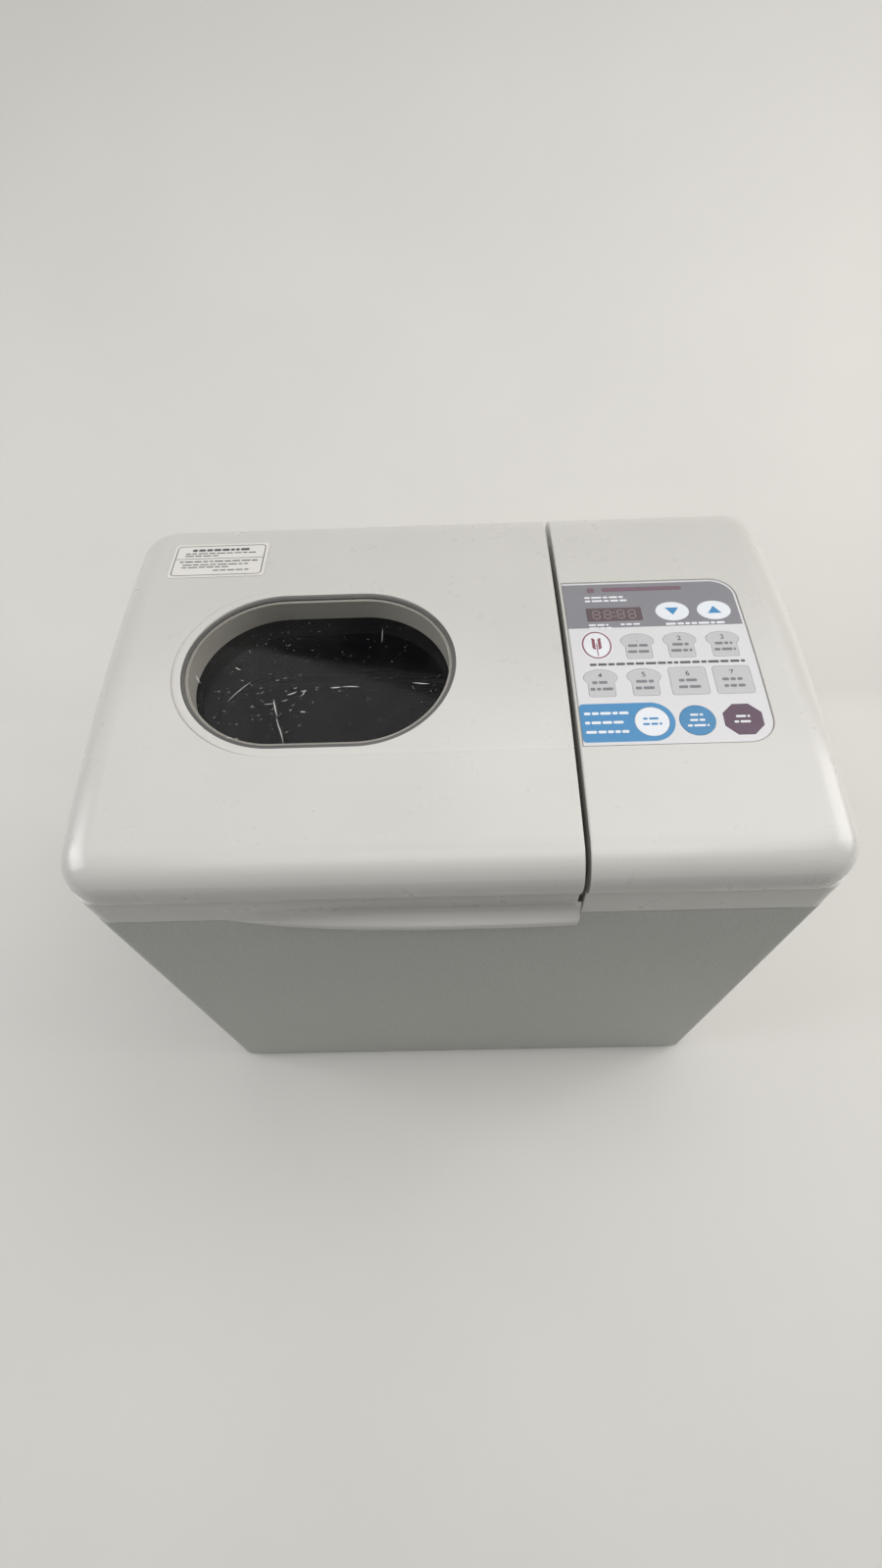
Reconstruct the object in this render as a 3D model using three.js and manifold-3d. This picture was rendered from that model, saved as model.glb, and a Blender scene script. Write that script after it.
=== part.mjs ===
// A household bread machine with a hinged lid, a fixed control cover, a lift-out pan and a belt drive.
// Units are millimetres, +Z is up, the front faces -Y and the origin is on the floor under the middle.

import * as THREE from 'three';
import { mergeVertices } from 'three/addons/utils/BufferGeometryUtils.js';
import Module from 'manifold-3d';

const wasm = await Module();
wasm.setup();

// Driving dimensions of the housing.
const WIDTH = 360;
const DEPTH = 236.6;
const HEIGHT = 348.5;
const CROWN = 8.2;
const EDGE_IN = 18.8;
const EDGE_DOWN = 14.6;
const CORNER = 21;
const BAND_INSET = 2.6;
const BAND_CORNER = 10;
const BAND_TOP = 318;
const CASE_INSET = 3;
const CASE_CORNER = 8;
const FOOT_HEIGHT = 5;
const CASE_TOP = 293.2;
const LID_BOTTOM = 294;
const WALL = 2.5;
const SHEET = 1.2;
const GAP = 0.3;
const LID_EDGE = 56.1;
const COVER_EDGE = 58.7;
const LIP_EDGE = COVER_EDGE - 2 * GAP;
const REACH = 122.4;

const HALF_WIDTH = WIDTH / 2;
const HALF_DEPTH = DEPTH / 2;
const WIDEST = HEIGHT - EDGE_DOWN;
const BAND_FACE = HALF_DEPTH - BAND_INSET;
const CASE_FACE = HALF_DEPTH - CASE_INSET;
const FAR = 400;

// Hinge of the lid.
const HINGE_Y = HALF_DEPTH - 6.7;
const HINGE_Z = 298;
const HINGE_XS = [-135, 15];
const KNUCKLE_R = 4;
const POST_HALF = 6;
const LUG_WIDTH = 4;
const PIN_R = 2;
const HINGE_RELIEF = 297;

// Window of the lid.
const WINDOW = { x: -66.5, y: -2, length: 138.2, radius: 49.3 };
const RECESS_RIM = 4.6;
const RECESS_DEPTH = 1.2;
const GASKET_WIDTH = 1.6;
const WELL_TOP = 341.5;
const GLASS_Z = 329.4;
const GLASS_T = 3;

// Control panel: four columns and four rows of keys.
const COLUMNS = [72.6, 93.8, 115, 136.4];
const ROWS = [27.1, 3.6, -19.3, -42.5];
const FILM = { front: -54.9, rear: 50, left: 60.4, right: 149.9, radius: 12.5 };
const FILM_TOP = 0.4;
const FILM_T = 0.5;
const POCKET_DEPTH = FILM_TOP + FILM_T + GAP;
const KEY_PROUD = 0.3;
const KEY_TRAVEL = 0.6;
const SWITCH_TOP = 341.6;
const BOARD_Z = 336;
const BOARD_T = 1.6;
const DISPLAY = { x: 85, y: 25.9, width: 28.6, depth: 9.8 };

// Oven, pan and drive.
const OVEN = { x: -64, y: -3, width: 184, depth: 170, corner: 24, floor: 93, top: 289.9, sheet: 0.8 };
const PAN = { top: 262, bottom: 118, width: 150, depth: 132, corner: 24, draft: 6, wall: 1.6, rim: 2 };
const BAIL = { z: 256, arm: 56, wire: 2.4 };
const PULLEY_Z = 22;
const PULLEY_H = 12;
const LARGE_R = 48;
const SMALL_R = 9;
const BELT_T = 2;
const SHAFT_R = 5;
const ROTOR_SHAFT_R = 4;
const MOTOR = { x: 112, y: 0, bottom: 41.6, core: 70, bore: 14 };

// ---------- solids and outlines ----------

function solidOf(geometry) {
  const plain = geometry.clone();
  plain.deleteAttribute('normal');
  plain.deleteAttribute('uv');
  const merged = mergeVertices(plain, 1e-4);
  return new wasm.Manifold(new wasm.Mesh({
    numProp: 3,
    vertProperties: new Float32Array(merged.attributes.position.array),
    triVerts: new Uint32Array(merged.index.array),
  }));
}

function geometryOf(solid) {
  const mesh = solid.getMesh();
  const geometry = new THREE.BufferGeometry();
  geometry.setAttribute('position', new THREE.BufferAttribute(new Float32Array(mesh.vertProperties), 3));
  geometry.setIndex(new THREE.BufferAttribute(new Uint32Array(mesh.triVerts), 1));
  geometry.computeVertexNormals();
  return geometry;
}

function join(solids) {
  return solids.reduce((whole, piece) => whole.add(piece));
}

function cut(solid, cutters) {
  return cutters.reduce((rest, cutter) => rest.subtract(cutter), solid);
}

function arc(x, y, radius, from, to, steps) {
  const points = [];
  for (let i = 0; i <= steps; i += 1) {
    const angle = from + (to - from) * i / steps;
    points.push(new THREE.Vector2(x + radius * Math.cos(angle), y + radius * Math.sin(angle)));
  }
  return points;
}

function circle(x, y, radius, steps = 20) {
  return arc(x, y, radius, 0, 2 * Math.PI, steps).slice(0, -1);
}

function ellipse(x, y, halfX, halfY, steps = 20) {
  return circle(0, 0, 1, steps).map((p) => new THREE.Vector2(x + halfX * p.x, y + halfY * p.y));
}

function rectangle(x0, y0, x1, y1) {
  return [[x0, y0], [x1, y0], [x1, y1], [x0, y1]].map(([x, y]) => new THREE.Vector2(x, y));
}

function roundedBox(x, y, width, depth, radius, steps = 4) {
  const dx = width / 2 - radius;
  const dy = depth / 2 - radius;
  const turn = Math.PI / 2;
  return [[1, 1], [-1, 1], [-1, -1], [1, -1]].flatMap(([sx, sy], i) => (
    arc(x + sx * dx, y + sy * dy, radius, i * turn, (i + 1) * turn, steps)
  ));
}

function stadium(grow, steps = 12) {
  const radius = WINDOW.radius + grow;
  const offset = WINDOW.length / 2 - WINDOW.radius;
  const quarter = Math.PI / 2;
  return [
    ...arc(WINDOW.x + offset, WINDOW.y, radius, -quarter, quarter, steps),
    ...arc(WINDOW.x - offset, WINDOW.y, radius, quarter, 3 * quarter, steps),
  ];
}

function extrusion(points, length) {
  return new THREE.ExtrudeGeometry(new THREE.Shape(points), { depth: length, bevelEnabled: false });
}

function prism(points, bottom, top) {
  const geometry = extrusion(points, top - bottom);
  geometry.translate(0, 0, bottom);
  return solidOf(geometry);
}

// The outline's two numbers are Y and Z here.
function barX(points, from, to) {
  const geometry = extrusion(points, to - from);
  const turned = new THREE.Matrix4().set(0, 0, 1, from, 1, 0, 0, 0, 0, 1, 0, 0, 0, 0, 0, 1);
  geometry.applyMatrix4(turned);
  return solidOf(geometry);
}

// The outline's two numbers are Z and X here.
function barY(points, from, to) {
  const geometry = extrusion(points, to - from);
  const turned = new THREE.Matrix4().set(0, 1, 0, 0, 0, 0, 1, from, 1, 0, 0, 0, 0, 0, 0, 1);
  geometry.applyMatrix4(turned);
  return solidOf(geometry);
}

function box(low, high) {
  return prism(rectangle(low[0], low[1], high[0], high[1]), low[2], high[2]);
}

function rod(x, y, radius, bottom, top, steps = 16) {
  return prism(circle(x, y, radius, steps), bottom, top);
}

// A solid of revolution about the vertical line through x, y. The profile is [radius, height] pairs.
function revolve(profile, x, y, steps = 24) {
  const points = profile.map(([radius, height]) => new THREE.Vector2(radius, height));
  points.push(points[0].clone());
  const geometry = new THREE.LatheGeometry(points, steps);
  geometry.rotateX(Math.PI / 2);
  geometry.translate(x, y, 0);
  return solidOf(geometry);
}

function tube(curve, radius, steps, sides = 8) {
  const section = new THREE.Shape(circle(0, 0, radius, sides));
  return solidOf(new THREE.ExtrudeGeometry(section, { steps, bevelEnabled: false, extrudePath: curve }));
}

// One level of a lofted shell: a rounded rectangle whose right side runs from front to rear.
function ring({ x = 0, y = 0, halfWidth, halfDepth, corner, z, crown = 0 }, cornerSteps, sideSteps) {
  const cx = halfWidth - corner;
  const cy = halfDepth - corner;
  const quarter = Math.PI / 2;
  const side = arc(cx, -cy, corner, -quarter, 0, cornerSteps);
  for (let i = 1; i < sideSteps; i += 1) {
    side.push(new THREE.Vector2(halfWidth, -cy + 2 * cy * i / sideSteps));
  }
  side.push(...arc(cx, cy, corner, 0, quarter, cornerSteps));
  const mirrored = side.map((p) => new THREE.Vector2(-p.x, p.y)).reverse();
  return [...side, ...mirrored].map((p) => (
    new THREE.Vector3(x + p.x, y + p.y, z - crown * CROWN * (p.y / HALF_DEPTH) ** 2)
  ));
}

// Rings of equal count become one closed solid; each cap is a strip of quads across the ring.
function loft(levels, cornerSteps = 4, sideSteps = 1) {
  const rings = levels.map((level) => ring(level, cornerSteps, sideSteps));
  const count = rings[0].length;
  const index = [];
  for (let k = 0; k + 1 < rings.length; k += 1) {
    for (let i = 0; i < count; i += 1) {
      const a = k * count + i;
      const b = k * count + (i + 1) % count;
      index.push(a, b, b + count, a, b + count, a + count);
    }
  }
  const last = (rings.length - 1) * count;
  for (let i = 0; i + 1 < count / 2; i += 1) {
    const [a, b, c, d] = [i, i + 1, count - 2 - i, count - 1 - i];
    index.push(c, b, a, d, c, a);
    index.push(last + a, last + b, last + c, last + a, last + c, last + d);
  }
  const geometry = new THREE.BufferGeometry().setFromPoints(rings.flat());
  geometry.setIndex(index);
  return solidOf(geometry);
}

// Everything below the crowned top, lowered by a depth that may vary from front to rear.
function underCrown(depthAt) {
  const steps = 12;
  const half = 120;
  const points = [new THREE.Vector2(half, 300), new THREE.Vector2(-half, 300)].reverse();
  for (let i = 0; i <= steps; i += 1) {
    const y = half - 2 * half * i / steps;
    points.push(new THREE.Vector2(y, HEIGHT - CROWN * (y / HALF_DEPTH) ** 2 - depthAt(y)));
  }
  return barX(points, -HALF_WIDTH, HALF_WIDTH);
}

// The layer between two depths under the crowned top, inside an outline.
function crownedSheet(outlineSolid, topDepth, bottomDepth) {
  return outlineSolid.intersect(underCrown(() => topDepth)).subtract(underCrown(() => bottomDepth));
}

// ---------- materials ----------

function material(color, roughness, metalness = 0) {
  return new THREE.MeshStandardMaterial({ color, roughness, metalness });
}

const OFF_WHITE = material(0xd9d8d2, 0.38);
const PAINTED = material(0xb4b5b1, 0.5);
const DARK_PLASTIC = material(0x2c2c2e, 0.6);
const GREY_PLASTIC = material(0x6b6862, 0.6);
const RUBBER = material(0x1d1d1e, 0.85);
const STEEL = material(0xb9bbbd, 0.32, 1);
const ALUMINIUM = material(0xc4c6c8, 0.4, 1);
const NON_STICK = material(0x2a2a2c, 0.45);
const GLASS = material(0x22262a, 0.08);
const FILM_GREY = material(0xdadadd, 0.42);
const KEY_GREY = material(0xc6c7c8, 0.45);
const KEY_WHITE = material(0xeef0f2, 0.4);
const KEY_BLUE = material(0x3f8dc4, 0.4);
const KEY_PURPLE = material(0x66506a, 0.4);
const STICKER = material(0xf1f0ec, 0.5);
const CIRCUIT = material(0x1f5a3c, 0.55);
const COPPER = material(0xa8643a, 0.45, 0.6);

const group = new THREE.Group();

function add(parent, name, solid, look, place = [0, 0, 0]) {
  const mesh = new THREE.Mesh(geometryOf(solid), look);
  mesh.name = name;
  mesh.position.set(...place);
  parent.add(mesh);
}

function assembly() {
  const part = new THREE.Group();
  group.add(part);
  return part;
}

// ---------- housing outline shared by the lid and the control cover ----------

function level(inset, z, crown, corner = CORNER - inset) {
  return { halfWidth: HALF_WIDTH - inset, halfDepth: HALF_DEPTH - inset, corner, z, crown };
}

function outerHousing() {
  const levels = [level(BAND_INSET, LID_BOTTOM, 0, BAND_CORNER), level(BAND_INSET, BAND_TOP, 0, BAND_CORNER)];
  const underSteps = 2;
  for (let i = 1; i < underSteps; i += 1) {
    const angle = Math.PI / 2 * i / underSteps;
    const z = WIDEST - (WIDEST - BAND_TOP) * Math.cos(angle);
    levels.push(level(BAND_INSET * (1 - Math.sin(angle)), z, (z - BAND_TOP) / (WIDEST - BAND_TOP)));
  }
  const overSteps = 5;
  for (let i = 0; i <= overSteps; i += 1) {
    const angle = Math.PI / 2 * i / overSteps;
    levels.push(level(EDGE_IN * (1 - Math.cos(angle)), WIDEST + EDGE_DOWN * Math.sin(angle), 1));
  }
  return loft(levels, 5, 6);
}

function innerHousing() {
  const inset = BAND_INSET + WALL;
  const topInset = EDGE_IN + 1;
  const levels = [level(inset, LID_BOTTOM - 10, 0), level(inset, BAND_TOP, 0)];
  const steps = 2;
  for (let i = 0; i <= steps; i += 1) {
    const angle = Math.PI / 2 * i / steps;
    const side = inset + (topInset - inset) * (1 - Math.cos(angle));
    levels.push(level(side, WIDEST - WALL + EDGE_DOWN * Math.sin(angle), 1));
  }
  return loft(levels, 5, 6);
}

const housing = outerHousing();
const cavity = innerHousing();

function leftOf(x) {
  return box([-FAR, -FAR, 0], [x, FAR, FAR]);
}

function rightOf(x) {
  return box([x, -FAR, 0], [FAR, FAR, FAR]);
}

// ---------- lid ----------

// The finger lip along the front of the lid bulges in plan, fading out to the left.
function fingerLip() {
  const middle = 5;
  const half = 115;
  const bulge = REACH - BAND_FACE;
  const endRadius = 3;
  const root = 1.2;
  const steps = 14;
  const reach = (x) => bulge * (1 - Math.abs((x - middle) / half) ** 2.65);
  const right = LIP_EDGE - endRadius;
  const points = [];
  for (let i = 0; i <= steps; i += 1) {
    const x = middle - half + (right - middle + half) * (i / steps) ** 0.8;
    points.push(new THREE.Vector2(x, -BAND_FACE - reach(x)));
  }
  points.push(...arc(right, points.at(-1).y + endRadius, endRadius, -Math.PI / 2, 0, 4).slice(1));
  points.push(new THREE.Vector2(LIP_EDGE, -BAND_FACE + root));
  points.push(new THREE.Vector2(middle - half, -BAND_FACE + root));
  const lipBottom = LID_BOTTOM - 1.6;
  const lipTop = LID_BOTTOM + 11;
  const tip = LID_BOTTOM + 2.4;
  const blend = [];
  const blendSteps = 5;
  for (let i = 0; i <= blendSteps; i += 1) {
    const t = i / blendSteps;
    const y = -BAND_FACE + root - (bulge + root + 1) * t;
    blend.push(new THREE.Vector2(y, lipTop - (lipTop - tip) * t ** 0.45));
  }
  const section = [
    new THREE.Vector2(-BAND_FACE + root, LID_BOTTOM),
    ...blend,
    new THREE.Vector2(-REACH - 1, lipBottom),
    new THREE.Vector2(-CASE_FACE - 1, lipBottom),
    new THREE.Vector2(-CASE_FACE - 1, LID_BOTTOM),
  ];
  return prism(points, lipBottom, lipTop).intersect(barX(section, -FAR, FAR));
}

function fingerHollow() {
  const x0 = -40;
  const x1 = LIP_EDGE - 6;
  const section = [
    new THREE.Vector2(-CASE_FACE - 2.2, LID_BOTTOM - 3),
    new THREE.Vector2(-REACH + 1.6, LID_BOTTOM - 3),
    new THREE.Vector2(-REACH + 1.6, LID_BOTTOM),
    new THREE.Vector2(-CASE_FACE - 2.2, LID_BOTTOM + 4.5),
  ].reverse();
  return barX(section, x0, x1);
}

function knuckleProfile() {
  const half = KNUCKLE_R;
  return [
    ...arc(HINGE_Y, HINGE_Z, half, -Math.PI, 0, 10),
    new THREE.Vector2(HINGE_Y + half, HINGE_Z + 12),
    new THREE.Vector2(HINGE_Y - half, HINGE_Z + 12),
  ];
}

function pinHole(from, to) {
  return barX(circle(HINGE_Y, HINGE_Z, PIN_R + GAP, 12), from, to);
}

function lidShell() {
  const shell = housing.intersect(leftOf(LID_EDGE)).subtract(cavity.intersect(leftOf(LID_EDGE - WALL)));
  const rearRelief = box([-FAR, HINGE_Y - 1, 0], [FAR, FAR, HINGE_RELIEF]);
  const front = WINDOW.y - WINDOW.radius - RECESS_RIM;
  const rear = WINDOW.y + WINDOW.radius + RECESS_RIM;
  const fading = (y) => RECESS_DEPTH * Math.min(1, Math.max(0, (rear - y) / (rear - front)));
  const recessArea = prism(stadium(RECESS_RIM), WELL_TOP, FAR).add(
    box([WINDOW.x, front, WELL_TOP], [FAR, rear, FAR]),
  );
  const recess = recessArea.subtract(underCrown(fading));
  const opening = prism(stadium(0), WELL_TOP - 10, FAR);
  const notch = (x) => box(
    [x - POST_HALF - GAP, HINGE_Y - KNUCKLE_R - 3, 0],
    [x + POST_HALF + GAP, FAR, HINGE_Z + KNUCKLE_R + 2 * GAP],
  );
  let solid = cut(shell.add(fingerLip()), [rearRelief, fingerHollow(), recess, opening]);
  for (const x of HINGE_XS) {
    const start = x - POST_HALF - GAP - LUG_WIDTH;
    const end = x + POST_HALF + GAP + LUG_WIDTH;
    solid = cut(solid.add(barX(knuckleProfile(), start, end)), [notch(x), pinHole(start - 1, end + 1)]);
  }
  return solid;
}

function lidInnerPlate() {
  const left = -HALF_WIDTH + BAND_INSET + WALL + 2 * GAP;
  const right = LID_EDGE - WALL - 2 * GAP;
  const front = -BAND_FACE + WALL + 2 * GAP;
  const rear = HINGE_Y - KNUCKLE_R - 3 * GAP - 2;
  const x = (left + right) / 2;
  const y = (front + rear) / 2;
  const sheet = 1;
  const flangeZ = LID_BOTTOM + 1;
  const dishTop = GLASS_Z - GAP;
  const shape = (grow, z, inset) => ({
    x: OVEN.x,
    y: OVEN.y,
    halfWidth: OVEN.width / 2 + 3 + grow - inset,
    halfDepth: OVEN.depth / 2 + 2 + grow - inset,
    corner: OVEN.corner + grow - inset / 2,
    z,
  });
  const outline = roundedBox(x, y, right - left, rear - front, CORNER - BAND_INSET - WALL);
  const flange = prism(outline, flangeZ, flangeZ + sheet);
  const outer = loft([shape(sheet, flangeZ, 0), shape(sheet, dishTop - 6, 3), shape(sheet, dishTop, 10)]);
  const inner = loft([
    shape(0, flangeZ - 1, 0),
    shape(0, dishTop - 6 - sheet, 3),
    shape(0, dishTop - sheet, 10),
  ]);
  return flange.add(outer).subtract(inner).subtract(prism(stadium(-6), dishTop - 5, FAR));
}

function windowGasket() {
  const outside = prism(stadium(-GAP), WELL_TOP - 5, FAR);
  const inside = prism(stadium(-GAP - GASKET_WIDTH), 0, FAR);
  return crownedSheet(outside.subtract(inside), 1.3, 4.4);
}

function windowPane() {
  return crownedSheet(prism(stadium(-2 * GAP - GASKET_WIDTH), WELL_TOP - 5, FAR), 1.5, 4.2);
}

function windowWell() {
  const bottom = GLASS_Z + GLASS_T + GAP;
  return prism(stadium(-2.4), bottom, WELL_TOP).subtract(prism(stadium(-3.8), bottom - 1, WELL_TOP + 1));
}

function innerGlass() {
  return prism(stadium(-1.5), GLASS_Z, GLASS_Z + GLASS_T);
}

function lidLabel() {
  const area = prism(roundedBox(-129, 79.2, 53.6, 29.6, 2.5, 3), WELL_TOP - 5, FAR);
  return crownedSheet(area, -0.5, -0.15);
}

function buildLid() {
  const lid = assembly();
  add(lid, 'lid_shell', lidShell(), OFF_WHITE);
  add(lid, 'lid_inner_plate', lidInnerPlate(), STEEL);
  add(lid, 'window_gasket', windowGasket(), RUBBER);
  add(lid, 'window_pane', windowPane(), GLASS);
  add(lid, 'window_well', windowWell(), GREY_PLASTIC);
  add(lid, 'inner_glass', innerGlass(), GLASS);
  add(lid, 'lid_label', lidLabel(), STICKER);
}

// ---------- control cover, film, keys ----------

function loafKey(x, y, width, depth, grow) {
  const more = 2 * grow;
  const body = roundedBox(x, y - 0.1 * depth, 0.78 * width + more, 0.8 * depth + more, 1.2 + grow, 1);
  const dome = ellipse(x, y + 0.2 * depth, width / 2 + grow, 0.3 * depth + grow, 16);
  return [body, dome];
}

function squareKey(x, y, width, depth, grow) {
  return [roundedBox(x, y, width + 2 * grow, depth + 2 * grow, 1.5 + grow, 2)];
}

function ovalKey(x, y, width, depth, grow) {
  return [ellipse(x, y, width / 2 + grow, depth / 2 + grow, 16)];
}

function octagonKey(x, y, width, depth, grow) {
  const halfX = width / 2 + grow;
  const halfY = depth / 2 + grow;
  const flat = Math.tan(Math.PI / 8);
  const left = [[flat, 1], [-flat, 1], [-1, flat], [-1, -flat]];
  const right = [[-flat, -1], [flat, -1], [1, -flat]];
  return [[[1, flat], ...left, ...right].map(([u, v]) => new THREE.Vector2(x + halfX * u, y + halfY * v))];
}

const KEYS = [
  { name: 'timer_down', column: 2, row: 0, width: 17.3, depth: 13.6, shape: ovalKey, look: KEY_WHITE },
  { name: 'timer_up', column: 3, row: 0, width: 17.3, depth: 13.6, shape: ovalKey, look: KEY_WHITE },
  { name: 'program_1', column: 1, row: 1, width: 16.4, depth: 16.6, shape: loafKey, look: KEY_GREY },
  { name: 'program_2', column: 2, row: 1, width: 16.4, depth: 16.6, shape: loafKey, look: KEY_GREY },
  { name: 'program_3', column: 3, row: 1, width: 16.4, depth: 16.6, shape: loafKey, look: KEY_GREY },
  { name: 'program_4', column: 0, row: 2, width: 16.4, depth: 16.6, shape: loafKey, look: KEY_GREY },
  { name: 'program_5', column: 1, row: 2, width: 16.4, depth: 16.6, shape: loafKey, look: KEY_GREY },
  { name: 'program_6', column: 2, row: 2, width: 18, depth: 16.8, shape: squareKey, look: KEY_GREY },
  { name: 'program_7', column: 3, row: 2, width: 18, depth: 16.8, shape: squareKey, look: KEY_GREY },
  { name: 'crust', column: 1, row: 3, width: 16.2, depth: 16.2, shape: ovalKey, look: KEY_WHITE },
  { name: 'start', column: 2, row: 3, width: 16.8, depth: 16.8, shape: ovalKey, look: KEY_BLUE },
  { name: 'stop', column: 3, row: 3, width: 18, depth: 17, shape: octagonKey, look: KEY_PURPLE },
];

function keyColumn(key, grow) {
  const outlines = key.shape(COLUMNS[key.column], ROWS[key.row], key.width, key.depth, grow);
  return join(outlines.map((outline) => prism(outline, BOARD_Z, FAR)));
}

function displayColumn(grow) {
  const width = DISPLAY.width + 2 * grow;
  const depth = DISPLAY.depth + 2 * grow;
  return prism(rectangle(
    DISPLAY.x - width / 2,
    DISPLAY.y - depth / 2,
    DISPLAY.x + width / 2,
    DISPLAY.y + depth / 2,
  ), BOARD_Z, FAR);
}

// The film's right corners are round and its left corners are square.
function filmOutline(grow) {
  const r = FILM.radius + grow;
  const cx = FILM.right - FILM.radius;
  const quarter = Math.PI / 2;
  return [
    new THREE.Vector2(FILM.left - grow, FILM.front - grow),
    ...arc(cx, FILM.front + FILM.radius, r, -quarter, 0, 5),
    ...arc(cx, FILM.rear - FILM.radius, r, 0, quarter, 5),
    new THREE.Vector2(FILM.left - grow, FILM.rear + grow),
  ];
}

const BOARD_CORNERS = [[66, -60], [66, 46], [156, -60], [156, 46]];

function controlCover() {
  const shell = housing.intersect(rightOf(COVER_EDGE)).subtract(cavity.intersect(rightOf(COVER_EDGE + WALL)));
  const pocketArea = prism(filmOutline(2 * GAP), BOARD_Z, FAR);
  const pocket = pocketArea.subtract(underCrown(() => POCKET_DEPTH));
  const pillars = BOARD_CORNERS.map(([x, y]) => rod(x, y, 3, BOARD_Z + BOARD_T + GAP, HEIGHT - 3.4, 8));
  const body = join([shell, ...pillars]);
  return cut(body, [pocket, displayColumn(GAP), ...KEYS.map((key) => keyColumn(key, GAP))]);
}

function panelFilm() {
  const area = prism(filmOutline(0), BOARD_Z, FAR);
  const sheet = crownedSheet(area, FILM_TOP, FILM_TOP + FILM_T);
  return cut(sheet, [displayColumn(GAP), ...KEYS.map((key) => keyColumn(key, GAP))]);
}

function keySolid(key) {
  const x = COLUMNS[key.column];
  const y = ROWS[key.row];
  const flangeTop = WALL + GAP;
  const flangeBottom = flangeTop + 0.6;
  const pad = crownedSheet(keyColumn(key, 0), FILM_TOP - KEY_PROUD, flangeBottom);
  const flange = crownedSheet(keyColumn(key, 0.8), flangeTop, flangeBottom);
  const stem = rod(x, y, 2, SWITCH_TOP + GAP + KEY_TRAVEL, HEIGHT - flangeTop - GAP, 6);
  return join([pad, flange, stem]);
}

function controlBoard() {
  const plate = box([63, -64, BOARD_Z], [159, 50, BOARD_Z + BOARD_T]);
  const switches = KEYS.map((key) => {
    const x = COLUMNS[key.column];
    const y = ROWS[key.row];
    return box([x - 3, y - 3, BOARD_Z + BOARD_T / 2], [x + 3, y + 3, SWITCH_TOP]);
  });
  const display = box(
    [DISPLAY.x - 16, DISPLAY.y - 7, BOARD_Z + BOARD_T / 2],
    [DISPLAY.x + 13, DISPLAY.y + 7, SWITCH_TOP + 1],
  );
  return join([plate, display, ...switches]);
}

function displayLens() {
  return crownedSheet(displayColumn(0), FILM_TOP, 2.4);
}

function buildPanel() {
  const panel = assembly();
  add(panel, 'control_cover', controlCover(), OFF_WHITE);
  add(panel, 'panel_film', panelFilm(), FILM_GREY);
  add(panel, 'display_lens', displayLens(), GLASS);
  add(panel, 'control_board', controlBoard(), CIRCUIT);
  for (const key of KEYS) {
    add(panel, `key_${key.name}`, keySolid(key), key.look);
  }
}

// ---------- case ----------

function caseOutline(inset) {
  return roundedBox(0, 0, WIDTH - 2 * inset, DEPTH - 2 * inset, CASE_CORNER - (inset - CASE_INSET), 5);
}

const REAR_OPENING = 146;
const REAR_COVER = { halfWidth: 158, bottom: 14, top: 282, sheet: 1.8 };
const GLAND = { x: -118, z: 42, radius: 9 };
const SCREW_R = 1.8;

function rearScrewPlaces() {
  const x = REAR_COVER.halfWidth - 6;
  const heights = [REAR_COVER.bottom + 8, REAR_COVER.top - 8];
  return heights.flatMap((z) => [[-x, z], [x, z]]);
}

function caseWrap() {
  const wall = prism(caseOutline(CASE_INSET), FOOT_HEIGHT, CASE_TOP).subtract(
    prism(caseOutline(CASE_INSET + SHEET), 0, FAR),
  );
  const rearOpening = box([-REAR_OPENING, 0, 20], [REAR_OPENING, FAR, CASE_TOP - 20]);
  const holes = rearScrewPlaces().map(([x, z]) => barY(circle(z, x, SCREW_R + GAP, 10), 0, FAR));
  return cut(wall, [rearOpening, ...holes]);
}

function rearCover() {
  const front = CASE_FACE + GAP;
  const { halfWidth, bottom, top, sheet } = REAR_COVER;
  const outline = roundedBox((bottom + top) / 2, 0, top - bottom, 2 * halfWidth, 8, 4);
  const plate = barY(outline, front, front + sheet);
  const slots = [];
  for (let row = 0; row < 6; row += 1) {
    const z = 190 + 12 * row;
    slots.push(barY(roundedBox(z, 96, 4, 64, 1.9, 1), 0, FAR));
    slots.push(barY(roundedBox(z, -70, 4, 64, 1.9, 1), 0, FAR));
  }
  for (let row = 0; row < 3; row += 1) {
    slots.push(barY(roundedBox(44 + 12 * row, 96, 4, 64, 1.9, 1), 0, FAR));
  }
  const screwHoles = rearScrewPlaces().map(([x, z]) => barY(circle(z, x, SCREW_R + GAP, 10), 0, FAR));
  const glandHole = barY(circle(GLAND.z, GLAND.x, GLAND.radius + GAP, 16), 0, FAR);
  return cut(plate, [...slots, ...screwHoles, glandHole]);
}

function turnedAlongY(profile, x, z, steps) {
  const points = profile.map(([radius, along]) => new THREE.Vector2(radius, along));
  points.push(points[0].clone());
  const geometry = new THREE.LatheGeometry(points, steps);
  geometry.translate(x, 0, z);
  return solidOf(geometry);
}

function cordGland() {
  const wall = CASE_FACE + GAP + REAR_COVER.sheet;
  const inner = CASE_FACE + GAP;
  const profile = [
    [4.2, inner - 8],
    [GLAND.radius + 2, inner - 8],
    [GLAND.radius + 2, inner - GAP],
    [GLAND.radius, inner - GAP],
    [GLAND.radius, wall + GAP],
    [GLAND.radius + 3, wall + GAP],
    [GLAND.radius + 2, wall + 2.4],
    [6.4, REACH],
    [4.2, REACH],
  ];
  return turnedAlongY(profile, GLAND.x, GLAND.z, 16);
}

function rearScrew() {
  const wall = CASE_FACE + GAP + REAR_COVER.sheet;
  const profile = [
    [0, CASE_FACE - 8],
    [SCREW_R, CASE_FACE - 8],
    [SCREW_R, wall + GAP],
    [3.6, wall + GAP],
    [3.2, wall + 1.6],
    [0, wall + 2.2],
  ];
  return solidOf(new THREE.LatheGeometry(profile.map(([r, along]) => new THREE.Vector2(r, along)), 12));
}

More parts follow.
